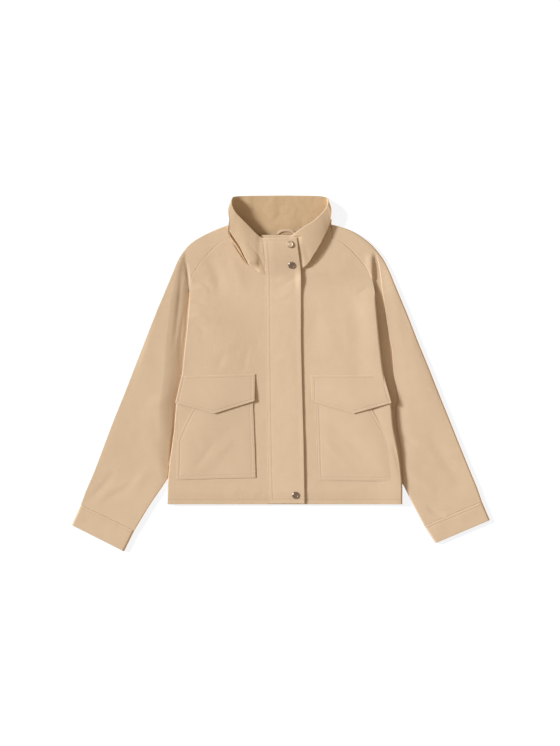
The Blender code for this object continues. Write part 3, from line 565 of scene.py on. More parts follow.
def creased(x, y, creases):
    """Height of the listed creases: soft folds along paths, which fade out at both ends."""
    total = np.zeros(np.shape(x))
    for path, height, width, sharper in creases:
        path = blend_rows(path, 6)
        legs = np.linalg.norm(np.diff(path, axis=0), axis=1)
        before = np.concatenate([[0], np.cumsum(legs)])
        best, side, run = np.full(np.shape(x), 9.0), np.zeros(np.shape(x)), np.zeros(np.shape(x))
        for a, b, leg, start in zip(path, path[1:], legs, before):
            way = (b - a) / leg
            forward = (x - a[0]) * way[0] + (y - a[1]) * way[1]
            beside = (x - a[0]) * way[1] - (y - a[1]) * way[0]
            held = np.clip(forward, 0, leg)
            away = np.hypot(forward - held, beside)
            nearer = away < best
            best, side = np.where(nearer, away, best), np.where(nearer, beside, side)
            run = np.where(nearer, start + held, run)
        reach = width * np.where(side > 0, sharper, 1.0)
        ends = np.sin(math.pi * np.clip(run / before[-1], 0, 1)) ** CREASE_ENDS
        total += height * ends * hump(best, reach)
    return total


def front_grid(side):
    """A front from its front edge to its side, and above the underarm from the neck to the raglan seam."""
    at_hem, at_neck = FRONT_EDGE_X[side]
    levels = levels_between(HEM_Y, UNDERARM_Y, FRONT_STEP, start=HEM_SPOTS)
    share = (levels - HEM_Y) / (UNDERARM_Y - HEM_Y)
    rise = (NECK_CORNER_Y - UNDERARM_Y) * share ** 2
    inner = np.stack([at_hem + (at_neck - at_hem) * share, levels + rise], axis=1)
    outer = edge_points(SIDE_EDGE[side], levels, sign=SIDES[side])
    shoulder = blend_rows(RAGLAN[side], SHOULDER_ROWS)[1:]
    to_neck = NECK_CENTRE - shoulder[:, :2]
    neck = shoulder[:, :2] + to_neck / np.linalg.norm(to_neck, axis=1)[:, None] * NECK_LAP
    inner, outer = np.vstack([inner, neck]), np.vstack([outer, shoulder[:, 2:]])
    x, y, from_neck, from_side = spread(inner, outer, STITCH_SPOTS, FOLD_SPOTS, FRONT_COLUMNS)
    sewn_under = np.concatenate([np.zeros(len(levels)), np.ones(len(shoulder))])[:, None]
    folded = side_fold(np.broadcast_to(outer[:, 1:], x.shape))
    top = front_height(x, y)
    if side == "left":
        start, end = UNDERLAP_RISE
        top = top - UNDERLAP_DROP * (1 - smooth((x - start) / (end - start)))
    calm = smooth(from_side / CALM_EDGE)
    top = top + creased(x, y, FRONT_CREASES[side]) * (CALM_SHARE + (1 - CALM_SHARE) * calm)
    top = top + uneven(x, y, FRONT_WAVES) * calm
    puffed = smooth((PUFF_TOP - y) / PUFF_OVER)
    top = top + SIDE_PUFF[side] * puffed * (1 - smooth((from_side - PUFF_FROM) / PUFF_WIDTH))
    top = top + uneven(x, y, FRONT_PUCKERS)
    top = top - NECK_DROP * sewn_under * (1 - smooth((from_neck - NECK_DROP_FROM) / NECK_DROP_OVER))
    seam = (front_height(x, y) + body_lift(x, y)) / 2 + SEAM_GAP / 2
    z = top + (seam - top) * fold_fall(from_side, side) * folded
    return np.stack([x, y, z], axis=-1)


for side in SIDES:
    grid = front_grid(side)
    cloth(f"{side}_front_cloth", grid, hem_thickness(grid[..., 1]), UP, BODY_TWILL,
          [f"front_{side}"], sewn={"low": (HEM_ROW,)})

# ---- Sleeves -------------------------------------------------------------------------------------
# Each raglan sleeve is one piece of twill rolled into a tube and sewn along the underarm, then sewn
# to the body along the raglan seam. A deep fold runs from the shoulder down beside the body.

SLEEVE_TWILL = twill("sleeve_twill_cloth", TAN, PALE_TAN, spread=0.07)
SLEEVE_ROWS = {
    "left": [(0.1085, 0.3074, 0.1085, 0.3355), (0.1436, 0.2887, 0.1560, 0.321),
             (0.1737, 0.2586, 0.1970, 0.294), (0.1958, 0.2305, 0.2260, 0.261),
             (0.2049, 0.2123, 0.2430, 0.229), (0.2099, 0.1860, 0.2550, 0.200),
             (0.2070, 0.1560, 0.2680, 0.169), (0.1910, 0.1180, 0.2850, 0.128),
             (0.1640, 0.0630, 0.3060, 0.074), (0.1570, 0.0000, 0.3290, 0.018),
             (0.1740, -0.0610, 0.3540, -0.045), (0.2040, -0.1290, 0.3810, -0.112),
             (0.2370, -0.1920, 0.4050, -0.172), (0.2703, -0.2443, 0.4245, -0.220),
             (0.2953, -0.2943, 0.4398, -0.257), (0.3203, -0.3421, 0.4505, -0.2875)],
    "right": [(0.1100, 0.3078, 0.1104, 0.3362), (0.1455, 0.2887, 0.1540, 0.320),
              (0.1737, 0.2586, 0.2010, 0.294), (0.1948, 0.2305, 0.2285, 0.261),
              (0.2029, 0.2123, 0.2430, 0.229), (0.2059, 0.1860, 0.2550, 0.200),
              (0.2030, 0.1560, 0.2680, 0.169), (0.1870, 0.1180, 0.2850, 0.128),
              (0.1620, 0.0630, 0.3060, 0.074), (0.1560, 0.0000, 0.3280, 0.018),
              (0.1710, -0.0610, 0.3525, -0.045), (0.1980, -0.1290, 0.3795, -0.112),
              (0.2270, -0.1850, 0.4020, -0.172), (0.2540, -0.2350, 0.4203, -0.220),
              (0.2943, -0.2945, 0.4382, -0.262), (0.3294, -0.3523, 0.4500, -0.2935)],
}
# the deep fold beside the body: (y, distance out to its far edge, width of its far wall, depth)
ARM_FOLD = {
    "left": [(0.272, 0.0040, 0.0018, 0.0), (0.260, 0.0075, 0.0018, 0.0022), (0.235, 0.0125, 0.0018, 0.0052),
             (0.198, 0.0170, 0.0018, 0.0064), (0.164, 0.0195, 0.0018, 0.0066),
             (0.120, 0.0215, 0.0018, 0.0068), (0.074, 0.0245, 0.0018, 0.0068),
             (0.050, 0.0265, 0.0018, 0.0068), (-0.005, 0.0235, 0.0018, 0.0068),
             (-0.058, 0.0200, 0.0020, 0.0064), (-0.076, 0.0120, 0.0030, 0.0058),
             (-0.160, 0.0100, 0.0050, 0.0044), (-0.220, 0.0080, 0.0060, 0.0024),
             (-0.250, 0.0060, 0.0060, 0.0)],
    "right": [(0.272, 0.0040, 0.0040, 0.0), (0.255, 0.0120, 0.0100, 0.0000), (0.235, 0.0220, 0.0220, 0.0004),
              (0.200, 0.0330, 0.0330, 0.0020), (0.170, 0.0400, 0.0380, 0.0050),
              (0.135, 0.0430, 0.0410, 0.0066), (0.100, 0.0440, 0.0430, 0.0066),
              (0.050, 0.0430, 0.0420, 0.0066), (-0.010, 0.0410, 0.0400, 0.0066),
              (-0.060, 0.0380, 0.0370, 0.0062), (-0.120, 0.0340, 0.0330, 0.0052),
              (-0.180, 0.0270, 0.0260, 0.0040), (-0.232, 0.0160, 0.0150, 0.0018),
              (-0.250, 0.0100, 0.0100, 0.0)],
}
ARM_RISE = {  # how full the sleeve is beside the fold
    "left": [(0.270, 0.0), (0.240, -0.0024), (0.200, -0.0024), (0.160, -0.0012), (-0.100, -0.0012),
             (-0.240, 0.0)],
    "right": [(0.275, 0.0), (0.255, 0.0028), (0.235, 0.0054), (0.200, 0.0056), (0.150, 0.0042),
              (0.050, 0.0036), (-0.100, 0.0036), (-0.240, 0.0)],
}
ARM_TUCK = {"left": 0.0, "right": 0.0030}  # how sharply it turns down under the body's edge
ARM_RISE_WIDTH = {"left": 0.030, "right": 0.0}  # where it lies lower, how soon it is level again
SHOULDER_PUFF = {"left": 0.0022, "right": 0.0}  # the sleeve above the fold's upper end
# where these two are: low end and over which distance, high end and over which distance
TUCK_REACH, TUCK_WIDTH = (-0.215, 0.080, 0.170, 0.030), 0.0024
PUFF_REACH, PUFF_HALF = (0.190, 0.020, 0.274, 0.020), 0.009
WALL_BOW = 0.65  # how much the right sleeve's slope is domed
SHOULDER_TOP, SHOULDER_OVER, SHOULDER_WALL = 0.012, 0.030, 0.0035  # above the underarm the fold closes
ROOM_GAP, LEAST_ROOM, LEAST_TOP = 0.0004, 2 * CLOTH + 0.0003, 2 * CLOTH + 0.0002  # under the body's edge
ROOM_REACH = 0.001  # how far out of the side it still has to stay under it
WALL_SAMPLES, WALL_AFTER, WALL_BEFORE, WALL_LEAST = 1200, 0.004, 0.016, 0.010  # where the far wall may be
SLEEVE_SPOTS, WALL_SPOTS, WALL_APART = 0.3, 0.030, 0.0001  # as MOST_SPOTS, and about the wall
SLEEVE_CALM, SEAM_CALM = 0.012, 0.004  # the waves and creases fade out at its folds
UNDER_BODY, UNDER_BODY_OVER = 0.010, 0.008  # how far in from the side the sleeve fills the room
SLEEVE_ROWS_BETWEEN, SLEEVE_COLUMNS, UNDERSIDE_COLUMNS = 15, (22, 34), 22
SLEEVE_WAVES = ((0.0006, 0.090, 5.2), (0.00022, 0.030, 1.3))
LAP_FROM, LAP_OVER = 0.165, 0.020  # above the underarm it goes under the body's edge
JOINED_TOP, JOINED_OVER = 0.178, 0.022  # below this, the underarm seam joins the two sides
ABOUT_WALL = (-0.0026, -0.0017, -0.0012, -0.0008, -0.0004, 0.0, 0.0004, 0.0008, 0.0012, 0.0017, 0.0026,
              0.0040)
CUFF_HALF = 0.0049
CUFF_ENDS = {"left": (0.3455, -0.3810, 0.4682, -0.3290), "right": (0.3529, -0.3997, 0.4709, -0.3402)}
CUFF_LAP = [(0.0006, 0.80), (0.0012, 0.62), (0.0040, 0.45)]  # how the sleeve's end goes into the cuff
LAP = 0.0028  # the raglan seam's allowance, under the body's edge
LAP_DROP = {"left": (0.0018, 0.0014, 0.0024), "right": (0.0016, 0.0005, 0.0020)}  # depth, where, how soon
LAP_UNDERSIDE = (0.0014, 0.0024)  # where and how soon on the lower side
NECK_END = (0.42, 0.1110, 0.0040)  # it goes into the collar: how much thinner, where, how soon
CUFF_LAP_NARROWER = 0.05  # how much the sleeve's end narrows as it is pressed together
SLEEVE_CREASES = {
    "right": [
        (((-0.2170, 0.262), (-0.2235, 0.222), (-0.2285, 0.165), (-0.2360, 0.100), (-0.2420, 0.050)),
         -0.0012, 0.0058, 0.9),
        (((-0.2190, 0.140), (-0.2260, 0.080), (-0.2290, 0.010)), -0.0009, 0.0040, 0.9),
        (((-0.2130, 0.252), (-0.2110, 0.225), (-0.2080, 0.195)), -0.0009, 0.0034, 0.9),
        (((-0.294, 0.164), (-0.306, 0.050), (-0.318, -0.061)), 0.0009, 0.0260, 0.9),
        (((-0.300, -0.075), (-0.270, -0.062), (-0.246, -0.040)), 0.0007, 0.0130, 0.8),
        (((-0.283, -0.100), (-0.270, -0.160), (-0.256, -0.215)), -0.0010, 0.0160, 0.8),
        (((-0.372, -0.216), (-0.397, -0.250), (-0.420, -0.273), (-0.438, -0.290)), -0.0008, 0.0090, 0.8),
        (((-0.330, -0.236), (-0.345, -0.257), (-0.379, -0.275), (-0.404, -0.300)), -0.0007, 0.0100, 0.8),
        (((-0.296, -0.205), (-0.322, -0.245), (-0.350, -0.262)), 0.0006, 0.0120, 0.8),
    ],
    "left": [
        (((0.270, -0.138), (0.285, -0.150), (0.306, -0.158)), -0.0012, 0.0080, 0.7),
        (((0.325, -0.295), (0.345, -0.312), (0.370, -0.318)), -0.0012, 0.0070, 0.6),
        (((0.290, 0.100), (0.310, 0.000), (0.345, -0.120)), 0.0012, 0.0260, 0.9),
        (((0.330, -0.130), (0.370, -0.200), (0.410, -0.260)), -0.0012, 0.0160, 0.8),
        (((0.262, -0.190), (0.300, -0.230), (0.350, -0.262)), 0.0010, 0.0140, 0.8),
    ],
}


def sleeve_top(side, x, y):
    """The sleeve's outer face: down into the deep fold, up its far wall, and level to the outer edge."""
    out = np.abs(x) - side_line(side, y)
    far, wall, depth = (read(ARM_FOLD[side], y, column) for column in (1, 2, 3))
    inside = smooth((UNDERARM_Y + SHOULDER_TOP - y) / SHOULDER_OVER)  # under the body, not on the shoulder
    across = np.clip((out - far + wall) / wall, 0, 1)
    rise = smooth(across) if side == "left" else across * (1 + WALL_BOW - WALL_BOW * across)
    near = np.where(out < 0, inside + (1 - inside) * hump(np.minimum(out, 0), SHOULDER_WALL), 1.0)
    top = STACK - depth * (1 - rise) * near
    top = top - ARM_TUCK[side] * between(y, *TUCK_REACH) * hump(np.maximum(out, 0), TUCK_WIDTH)
    level = 1 - smooth((out - far) / ARM_RISE_WIDTH[side]) if ARM_RISE_WIDTH[side] else 1.0
    top = top + read(ARM_RISE[side], y) * rise * level
    puff = between(y, *PUFF_REACH) * hump(np.minimum(out, 0) + PUFF_HALF, PUFF_HALF)
    top = top + SHOULDER_PUFF[side] * puff * (out < 0)
    under = inside * (1 - smooth((out + UNDER_BODY) / UNDER_BODY_OVER))
    top = top + (LIFT - top) * under  # it fills the room under the body
    room = np.maximum(body_lift(x, y) - ROOM_GAP, LEAST_ROOM)
    top = np.where((out < ROOM_REACH) & (y < UNDERARM_Y), np.minimum(top, room), top)
    return np.maximum(top, LEAST_TOP)  # the tube's other side is below


def wall_places(side, inner, outer):
    """How far along each row the middle of the deep fold's far wall is."""
    length = np.linalg.norm(outer - inner, axis=1)
    share = np.linspace(0, 1, WALL_SAMPLES)[None]
    x = np.abs(inner[:, :1] + (outer - inner)[:, :1] * share)
    y = inner[:, 1:] + (outer - inner)[:, 1:] * share
    beyond = x - side_line(side, y) > read(ARM_FOLD[side], y) - read(ARM_FOLD[side], y, 2) / 2
    places = share[0, np.argmax(beyond, axis=1)] * length
    places = np.clip(places, FOLD_SPOTS[-1] + WALL_AFTER, np.maximum(length - WALL_BEFORE, WALL_LEAST))
    return np.convolve(np.pad(places, 2, mode="edge"), np.ones(5) / 5, mode="valid")


def sleeve_spread(side, inner, outer, before, after):
    """Like spread, with points gathered about the deep fold's far wall."""
    length = np.linalg.norm(outer - inner, axis=1)[:, None]
    wall = wall_places(side, inner, outer)[:, None]
    squeeze = np.minimum(1, SLEEVE_SPOTS * length / (2 * FOLD_SPOTS[-1]))
    head, tail = np.array(FOLD_SPOTS)[None] * squeeze, length - np.array(FOLD_SPOTS)[None, ::-1] * squeeze
    about = wall + np.array(ABOUT_WALL)[None] * np.minimum(1, length / WALL_SPOTS)
    about = np.clip(about, head[:, -1:] + WALL_APART, tail[:, :1] - WALL_APART)
    about = about + np.linspace(0, 1e-5, len(ABOUT_WALL))
    early = head[:, -1:] + (about[:, :1] - head[:, -1:]) * np.linspace(0, 1, before + 2)[1:-1]
    late = about[:, -1:] + (tail[:, :1] - about[:, -1:]) * np.linspace(0, 1, after + 2)[1:-1]
    places = np.hstack([head, early, about, late, tail])
    spots = inner[:, None] + (outer - inner)[:, None] * (places / length)[..., None]
    return spots[..., 0], spots[..., 1], places, length - places


def sleeve_grid(side):
    """The tube from the raglan seam to inside the cuff: each row goes round from the underarm seam, over
    the upper side and back on the lower one."""
    sign = SIDES[side]
    rows = blend_rows(SLEEVE_ROWS[side], SLEEVE_ROWS_BETWEEN)
    inner, outer = rows[:, :2] * (sign, 1), rows[:, 2:] * (sign, 1)
    lapped = smooth((inner[:, 1:] - LAP_FROM) / LAP_OVER)
    inner = inner - (outer - inner) / np.linalg.norm(outer - inner, axis=1)[:, None] * LAP * lapped
    drop, where, soon = LAP_DROP[side]
    x, y, place, left = sleeve_spread(side, inner, outer, *SLEEVE_COLUMNS)
    joined = smooth((JOINED_TOP - np.broadcast_to(inner[:, 1:], x.shape)) / JOINED_OVER)
    top = sleeve_top(side, x, y)
    calm = smooth(place / SLEEVE_CALM) * smooth(left / SLEEVE_CALM)
    near_seam = smooth(place / SEAM_CALM)
    top = top + creased(x, y, SLEEVE_CREASES[side]) * near_seam * smooth(left / SLEEVE_CALM)
    top = top + uneven(x, y, SLEEVE_WAVES) * calm
    middle = np.minimum(top, STACK) / 2
    z = top + (middle + SEAM_GAP / 2 - top) * fold_fall(place, side) * joined
    z = z + (middle - z) * fold_fall(left, side)
    z -= drop * lapped * (1 - smooth((place - where) / soon))
    thinner, neck, over = NECK_END
    tucked = 1 - thinner * (1 - smooth((np.abs(x) - neck) / over))
    upper = np.stack([x, y, z * tucked], axis=-1)
    x, y, place, left = spread(inner, outer, FOLD_SPOTS, FOLD_SPOTS, UNDERSIDE_COLUMNS)
    height = np.minimum(sleeve_top(side, x, y), STACK) / 2
    z = (height - SEAM_GAP / 2) * fold_fall(place, side) * np.broadcast_to(joined[:, :1], x.shape)
    where, soon = LAP_UNDERSIDE
    z = z + (height - z) * fold_fall(left, side) + drop * lapped * (1 - smooth((place - where) / soon))
    lower = np.stack([x, y, z], axis=-1)[:, ::-1]
    grid = np.concatenate([upper, lower[:, 1:]], axis=1)
    seam, end = np.array(SLEEVE_ROWS[side][-1]), np.array(CUFF_ENDS[side])
    way = ((end - seam)[:2] + (end - seam)[2:]) / 2
    way = np.array([sign * way[0], way[1], 0]) / np.linalg.norm(way)
    rim = []
    for reach, squeeze in CUFF_LAP:
        row = grid[-1] + way * reach
        row[:, 2] = CUFF_HALF + (row[:, 2] - CUFF_HALF) * squeeze
        row[:, :2] += (row[:, :2].mean(axis=0) - row[:, :2]) * (1 - squeeze) * CUFF_LAP_NARROWER
        rim.append(row)
    return np.concatenate([grid, rim])


for side in SIDES:
    cloth(f"{side}_sleeve_cloth", sleeve_grid(side), CLOTH, UP, SLEEVE_TWILL,
          [f"sleeve_front_{side}", f"sleeve_back_{side}"], at=(120, 50))

# ---- Cuffs ---------------------------------------------------------------------------------------
# A plain band of doubled twill round each sleeve end, sewn on with one row of stitches beside the
# seam and open at the wrist.

CUFF_CLOTH, CUFF_GAP, CUFF_STEP = 0.0024, 0.0006, 0.0024
CUFF_BEND_POINTS, CUFF_UPPER_POINTS, CUFF_LOWER_POINTS = 13, 50, 24  # round each ring
CUFF_WAVES, CUFF_UPPER_FROM, CUFF_UPPER_OVER = ((0.0004, 0.030, 8.8),), 0.006, 0.003  # on the upper side


def cuff_grid(side):
    """Rings round the wrist from the seam to the open end, with round bends at both sides."""
    seam, end = np.array(SLEEVE_ROWS[side][-1]), np.array(CUFF_ENDS[side])
    length = np.linalg.norm((end - seam)[:2])
    spots = levels_between(CUFF_GAP, length, CUFF_STEP, start=STITCH_SPOTS, end=PLAIN_SPOTS) / length
    angles = np.linspace(0, math.pi, CUFF_BEND_POINTS)
    bend = [(CUFF_HALF * (1 - math.sin(angle)), CUFF_HALF * (1 + math.cos(angle))) for angle in angles]
    rows = []
    for share in spots:
        here = seam + (end - seam) * share
        inner, outer = here[:2] * (SIDES[side], 1), here[2:] * (SIDES[side], 1)
        width = np.linalg.norm(outer - inner)
        upper = np.linspace(CUFF_HALF, width - CUFF_HALF, CUFF_UPPER_POINTS)[1:-1]
        lower = np.linspace(width - CUFF_HALF, CUFF_HALF, CUFF_LOWER_POINTS)[1:-1]
        ring = bend[::-1] + [(place, 2 * CUFF_HALF) for place in upper]
        ring += [(width - place, height) for place, height in bend] + [(place, 0.0) for place in lower]
        rows.append([(*(inner + (outer - inner) * (place / width)), height) for place, height in ring])
    grid = np.array(rows)
    up = smooth((grid[..., 2] - CUFF_UPPER_FROM) / CUFF_UPPER_OVER)
    grid[..., 2] += up * uneven(grid[..., 0], grid[..., 1], CUFF_WAVES)
    return grid


for side in SIDES:
    cloth(f"{side}_cuff_band", cuff_grid(side), CUFF_CLOTH, UP, SLEEVE_TWILL,
          [f"cuff_{side}"], edges=("low", "high"), sewn={"low": (SINGLE_ROW,)}, at=(10, 36), closed=True)

# ---- Collar --------------------------------------------------------------------------------------
# A funnel collar of two doubled halves, joined at the centre back, which lies flat. Each half turns
# forward at the side of the neck and hangs over its own neck seam.

# a copy of the body's twill, a little darker and more saturated: painted shade on the standing collar and the
# hanger loop
SHADED_COLLAR_TWILL = twill("collar_twill_painted_shade", (0.624, 0.443, 0.277), PALE_TAN, spread=0.07)
COLLAR_CLOTH = 0.0028
LOW = STACK - 0.0030
# the placket that is sewn over the collar's front ends: its sides, and how it rises with the collar
PLACKET_ROWS = [(-0.2920, -0.0280, 0.0530), (-0.170, -0.0310, 0.0510), (-0.052, -0.0330, 0.0480),
                (0.074, -0.0340, 0.0450), (0.200, -0.0350, 0.0450), (0.218, -0.0350, 0.0450),
                (0.230, -0.0355, 0.0442), (0.242, -0.0360, 0.0430), (0.254, -0.0367, 0.0415),
                (0.266, -0.0376, 0.0398), (0.279, -0.0388, 0.0382), (0.292, -0.0400, 0.0368),
                (0.3042, -0.0410, 0.0355)]
PLACKET_RISE = [(0.200, 0.0), (0.218, 0.0004), (0.230, 0.0020), (0.242, 0.0048), (0.254, 0.0078),
                (0.266, 0.0102), (0.279, 0.0118), (0.292, 0.0122), (0.3042, 0.0112)]
PLACKET_SEAM, PLACKET_FREE = 0.0008, 0.0036  # heights of its two edges over the fronts
PLACKET_LEVEL = (0.212, 0.020, 0.3)  # it is level on the collar: from where, how soon, from which share
# each row runs from the neck seam to the top edge: x, y, z, x, y, z, and how far it is domed
COLLAR_ROWS = {
    "left": [(-0.039, 0.2213, LOW, -0.044, 0.3105, 0.0170, 0.0034),
             (-0.010, 0.2225, LOW, -0.018, 0.3105, 0.0170, 0.0034),
             (0.012, 0.2242, LOW + 0.0006, 0.004, 0.3103, 0.0180, 0.0032),
             (0.033, 0.2265, LOW + 0.0021, 0.021, 0.3095, 0.0200, 0.0026),
             (0.053, 0.2312, STACK, 0.033, 0.3165, 0.0246, 0.0012),
             (0.0735, 0.2422, STACK, 0.051, 0.3290, 0.0262, 0.0008),
             (0.0955, 0.2640, STACK, 0.069, 0.3400, 0.0266, 0.0006),
             (0.1062, 0.2862, STACK, 0.0840, 0.3520, 0.0264, 0.0006),
             (0.1134, 0.3005, 0.0092, 0.0925, 0.3605, 0.0260, 0.0006),
             (0.1136, 0.3150, 0.0088, 0.0995, 0.3700, 0.0256, 0.0006),
             (0.1108, 0.3310, 0.0060, 0.1045, 0.3810, 0.0240, 0.0006),
             (0.1090, 0.3190, 0.0012, 0.1062, 0.3895, 0.0100, 0.0004),
             (0.1070, 0.3072, 0.0000, 0.1030, 0.3950, 0.0010, 0.0),
             (0.0950, 0.3068, 0.0000, 0.0900, 0.3980, 0.0000, 0.0),
             (0.0750, 0.3082, 0.0000, 0.0750, 0.3990, 0.0000, 0.0),
             (0.0400, 0.3100, 0.0000, 0.0400, 0.3994, 0.0000, 0.0),
             (0.0057, 0.3112, 0.0000, 0.0057, 0.3996, 0.0000, 0.0)],
    "right": [(-0.0300, 0.2195, STACK + 0.0006, -0.0300, 0.3040, 0.0210, 0.0),
              (-0.0455, 0.2243, STACK + 0.0004, -0.0420, 0.3042, 0.0228, 0.0008),
              (-0.0575, 0.2313, STACK, -0.0550, 0.3130, 0.0248, 0.0012),
              (-0.0775, 0.2473, STACK, -0.0710, 0.3290, 0.0274, 0.0010),
              (-0.0960, 0.2762, STACK, -0.0850, 0.3430, 0.0298, 0.0008),
              (-0.1076, 0.2926, STACK, -0.0970, 0.3550, 0.0314, 0.0006),
              (-0.1142, 0.3034, 0.0094, -0.1032, 0.3625, 0.0324, 0.0006),
              (-0.1170, 0.3160, 0.0094, -0.1082, 0.3725, 0.0326, 0.0006),
              (-0.1172, 0.3280, 0.0080, -0.1112, 0.3840, 0.0310, 0.0006),
              (-0.1166, 0.3190, 0.0012, -0.1112, 0.3920, 0.0230, 0.0004),
              (-0.1150, 0.3074, 0.0000, -0.1070, 0.3965, 0.0120, 0.0),
              (-0.0950, 0.3068, 0.0000, -0.0920, 0.3984, 0.0030, 0.0),
              (-0.0750, 0.3082, 0.0000, -0.0750, 0.3990, 0.0010, 0.0),
              (-0.0400, 0.3100, 0.0000, -0.0400, 0.3994, 0.0000, 0.0),
              (0.0060, 0.3112, 0.0000, 0.0060, 0.3996, 0.0000, 0.0)],
}
# where the collar turns over its own foot: (row, share of the height)
COLLAR_TURN = {
    "left": [(3.4, 0.0), (4.0, 0.03), (5.0, 0.187), (6.0, 0.318), (7.0, 0.355), (8.0, 0.40), (9.0, 0.38),
             (10.0, 0.25), (11.0, 0.0)],
    "right": [(2.7, 0.0), (3.1, 0.05), (3.6, 0.115), (4.0, 0.150), (5.0, 0.165), (6.0, 0.160), (6.6, 0.12),
              (7.4, 0.0)],
}
# how high the turned edge stands, and over which distance it gets there
COLLAR_EDGE = {
    "left": [(0.0, 0.0105), (3.0, 0.0125), (4.0, 0.0155), (4.5, 0.0174), (5.0, 0.0192), (6.0, 0.0208),
             (7.0, 0.0205), (8.0, 0.0196), (9.0, 0.0200), (10.0, 0.0205), (11.0, 0.0060), (12.0, 0.0)],
    "right": [(0.0, 0.0130), (1.0, 0.0150), (2.0, 0.0186), (3.0, 0.0208), (4.0, 0.0230), (5.0, 0.0240),
              (6.0, 0.0250), (7.0, 0.0262), (8.0, 0.0272), (9.0, 0.0150), (10.0, 0.0040), (11.0, 0.0)],
}
COLLAR_RAMP = {
    "left": [(0.0, 0.030), (3.0, 0.026), (4.0, 0.0060), (4.6, 0.0020), (5.0, 0.0014), (8.0, 0.0014),
             (9.0, 0.0020), (10.0, 0.0030), (11.0, 0.010)],
    "right": [(0.0, 0.030), (1.0, 0.024), (2.0, 0.018), (2.8, 0.0100), (3.3, 0.0030), (4.0, 0.0018),
              (6.0, 0.0018), (7.0, 0.0024), (8.0, 0.0030), (10.0, 0.010)],
}
COLLAR_ROLL = {"left": 0.0004, "right": 0.0030}  # the foot's own fullness
COLLAR_GROOVE = {"left": 0.0, "right": 0.0026}  # how deep it is tucked where it turns
COLLAR_STEPS = 16
FULL_TURN = 0.06  # a lower turn is a part of one
ROLL_SHARE, ROLL_BLUNT, GROOVE_FROM, GROOVE_OVER = 0.62, 0.8, 0.50, 0.18  # shares of the foot's height
# the right half under the placket's sewn edge: drop beside it, drop under it, over which distance, and
# from which row it comes free, over how many
SEWN_UNDER, SEWN_ROWS = (0.0006, 0.0024, 0.0012), (0.9, 1.3)
# the left half under the placket's free edge: drop, how much less above, from where, how soon
FREE_UNDER, FREE_BESIDE, FREE_ABOVE = (0.0036, 0.0008, 0.262, 0.020), 0.012, (0.3048, 0.004)
FREE_ABOVE_ROW, FREE_LAST_ROW = 3.0, 6.0
FRONT_UNTIL, INSIDE_FROM = 9.0, 10.5  # the rows up to which it shows its outside, and from which its inside
FRONT_OVER, BULGE_ROWS = 2.0, 1.3
COLLAR_WAVES = ((0.0004, 0.045, 6.6),)
INSIDE_WAVES = ((0.0013, 0.040, 1.9), (0.0004, 0.013, 4.2))
WAVES_FROM_SEAM = 0.2  # share of the height over which the waves start
COLLAR_SIDE_BULGE = {"left": 0.0058, "right": 0.0060}
COLLAR_SIDE_ROW = {"left": 10, "right": 8}
TURN_AT = 0.25  # the columns round this one follow the turn
COLLAR_EDGES = np.array(PLAIN_SPOTS) / 0.085  # over the collar's usual height
COLLAR_SHARES = np.unique(np.concatenate([
    COLLAR_EDGES, np.linspace(0.05, TURN_AT - 0.03, 10),
    TURN_AT + np.array([-0.02, -0.012, -0.006, 0, 0.004, 0.008, 0.013, 0.018, 0.026, 0.036]),
    np.linspace(TURN_AT + 0.05, 0.94, 32), 1 - COLLAR_EDGES]))
COLLAR_CREASES = {
    "right": [
        (((-0.077, 0.292), (-0.062, 0.277), (-0.046, 0.256), (-0.033, 0.218)), -0.0006, 0.0034, 0.6),
        (((-0.088, 0.300), (-0.070, 0.268), (-0.055, 0.246)), 0.0004, 0.0080, 0.8),
    ],
    "left": [
        (((0.052, 0.290), (0.060, 0.262), (0.066, 0.250)), -0.0006, 0.0080, 0.8),
    ],
}


def placket_top(y, across=0.85):
    """The placket's outer face, at a share of the way from its sewn edge to its free one."""
    low, over, share = PLACKET_LEVEL
    above = smooth((y - low) / over) * (0.5 + 0.5 * np.clip(across / share, 0, 1))
    height = PLACKET_SEAM + (PLACKET_FREE - PLACKET_SEAM) * np.sin(0.5 * math.pi * np.clip(across, 0, 1))
    return STACK + crown(y) + read(PLACKET_RISE, y) + height + (PLACKET_FREE - height) * above


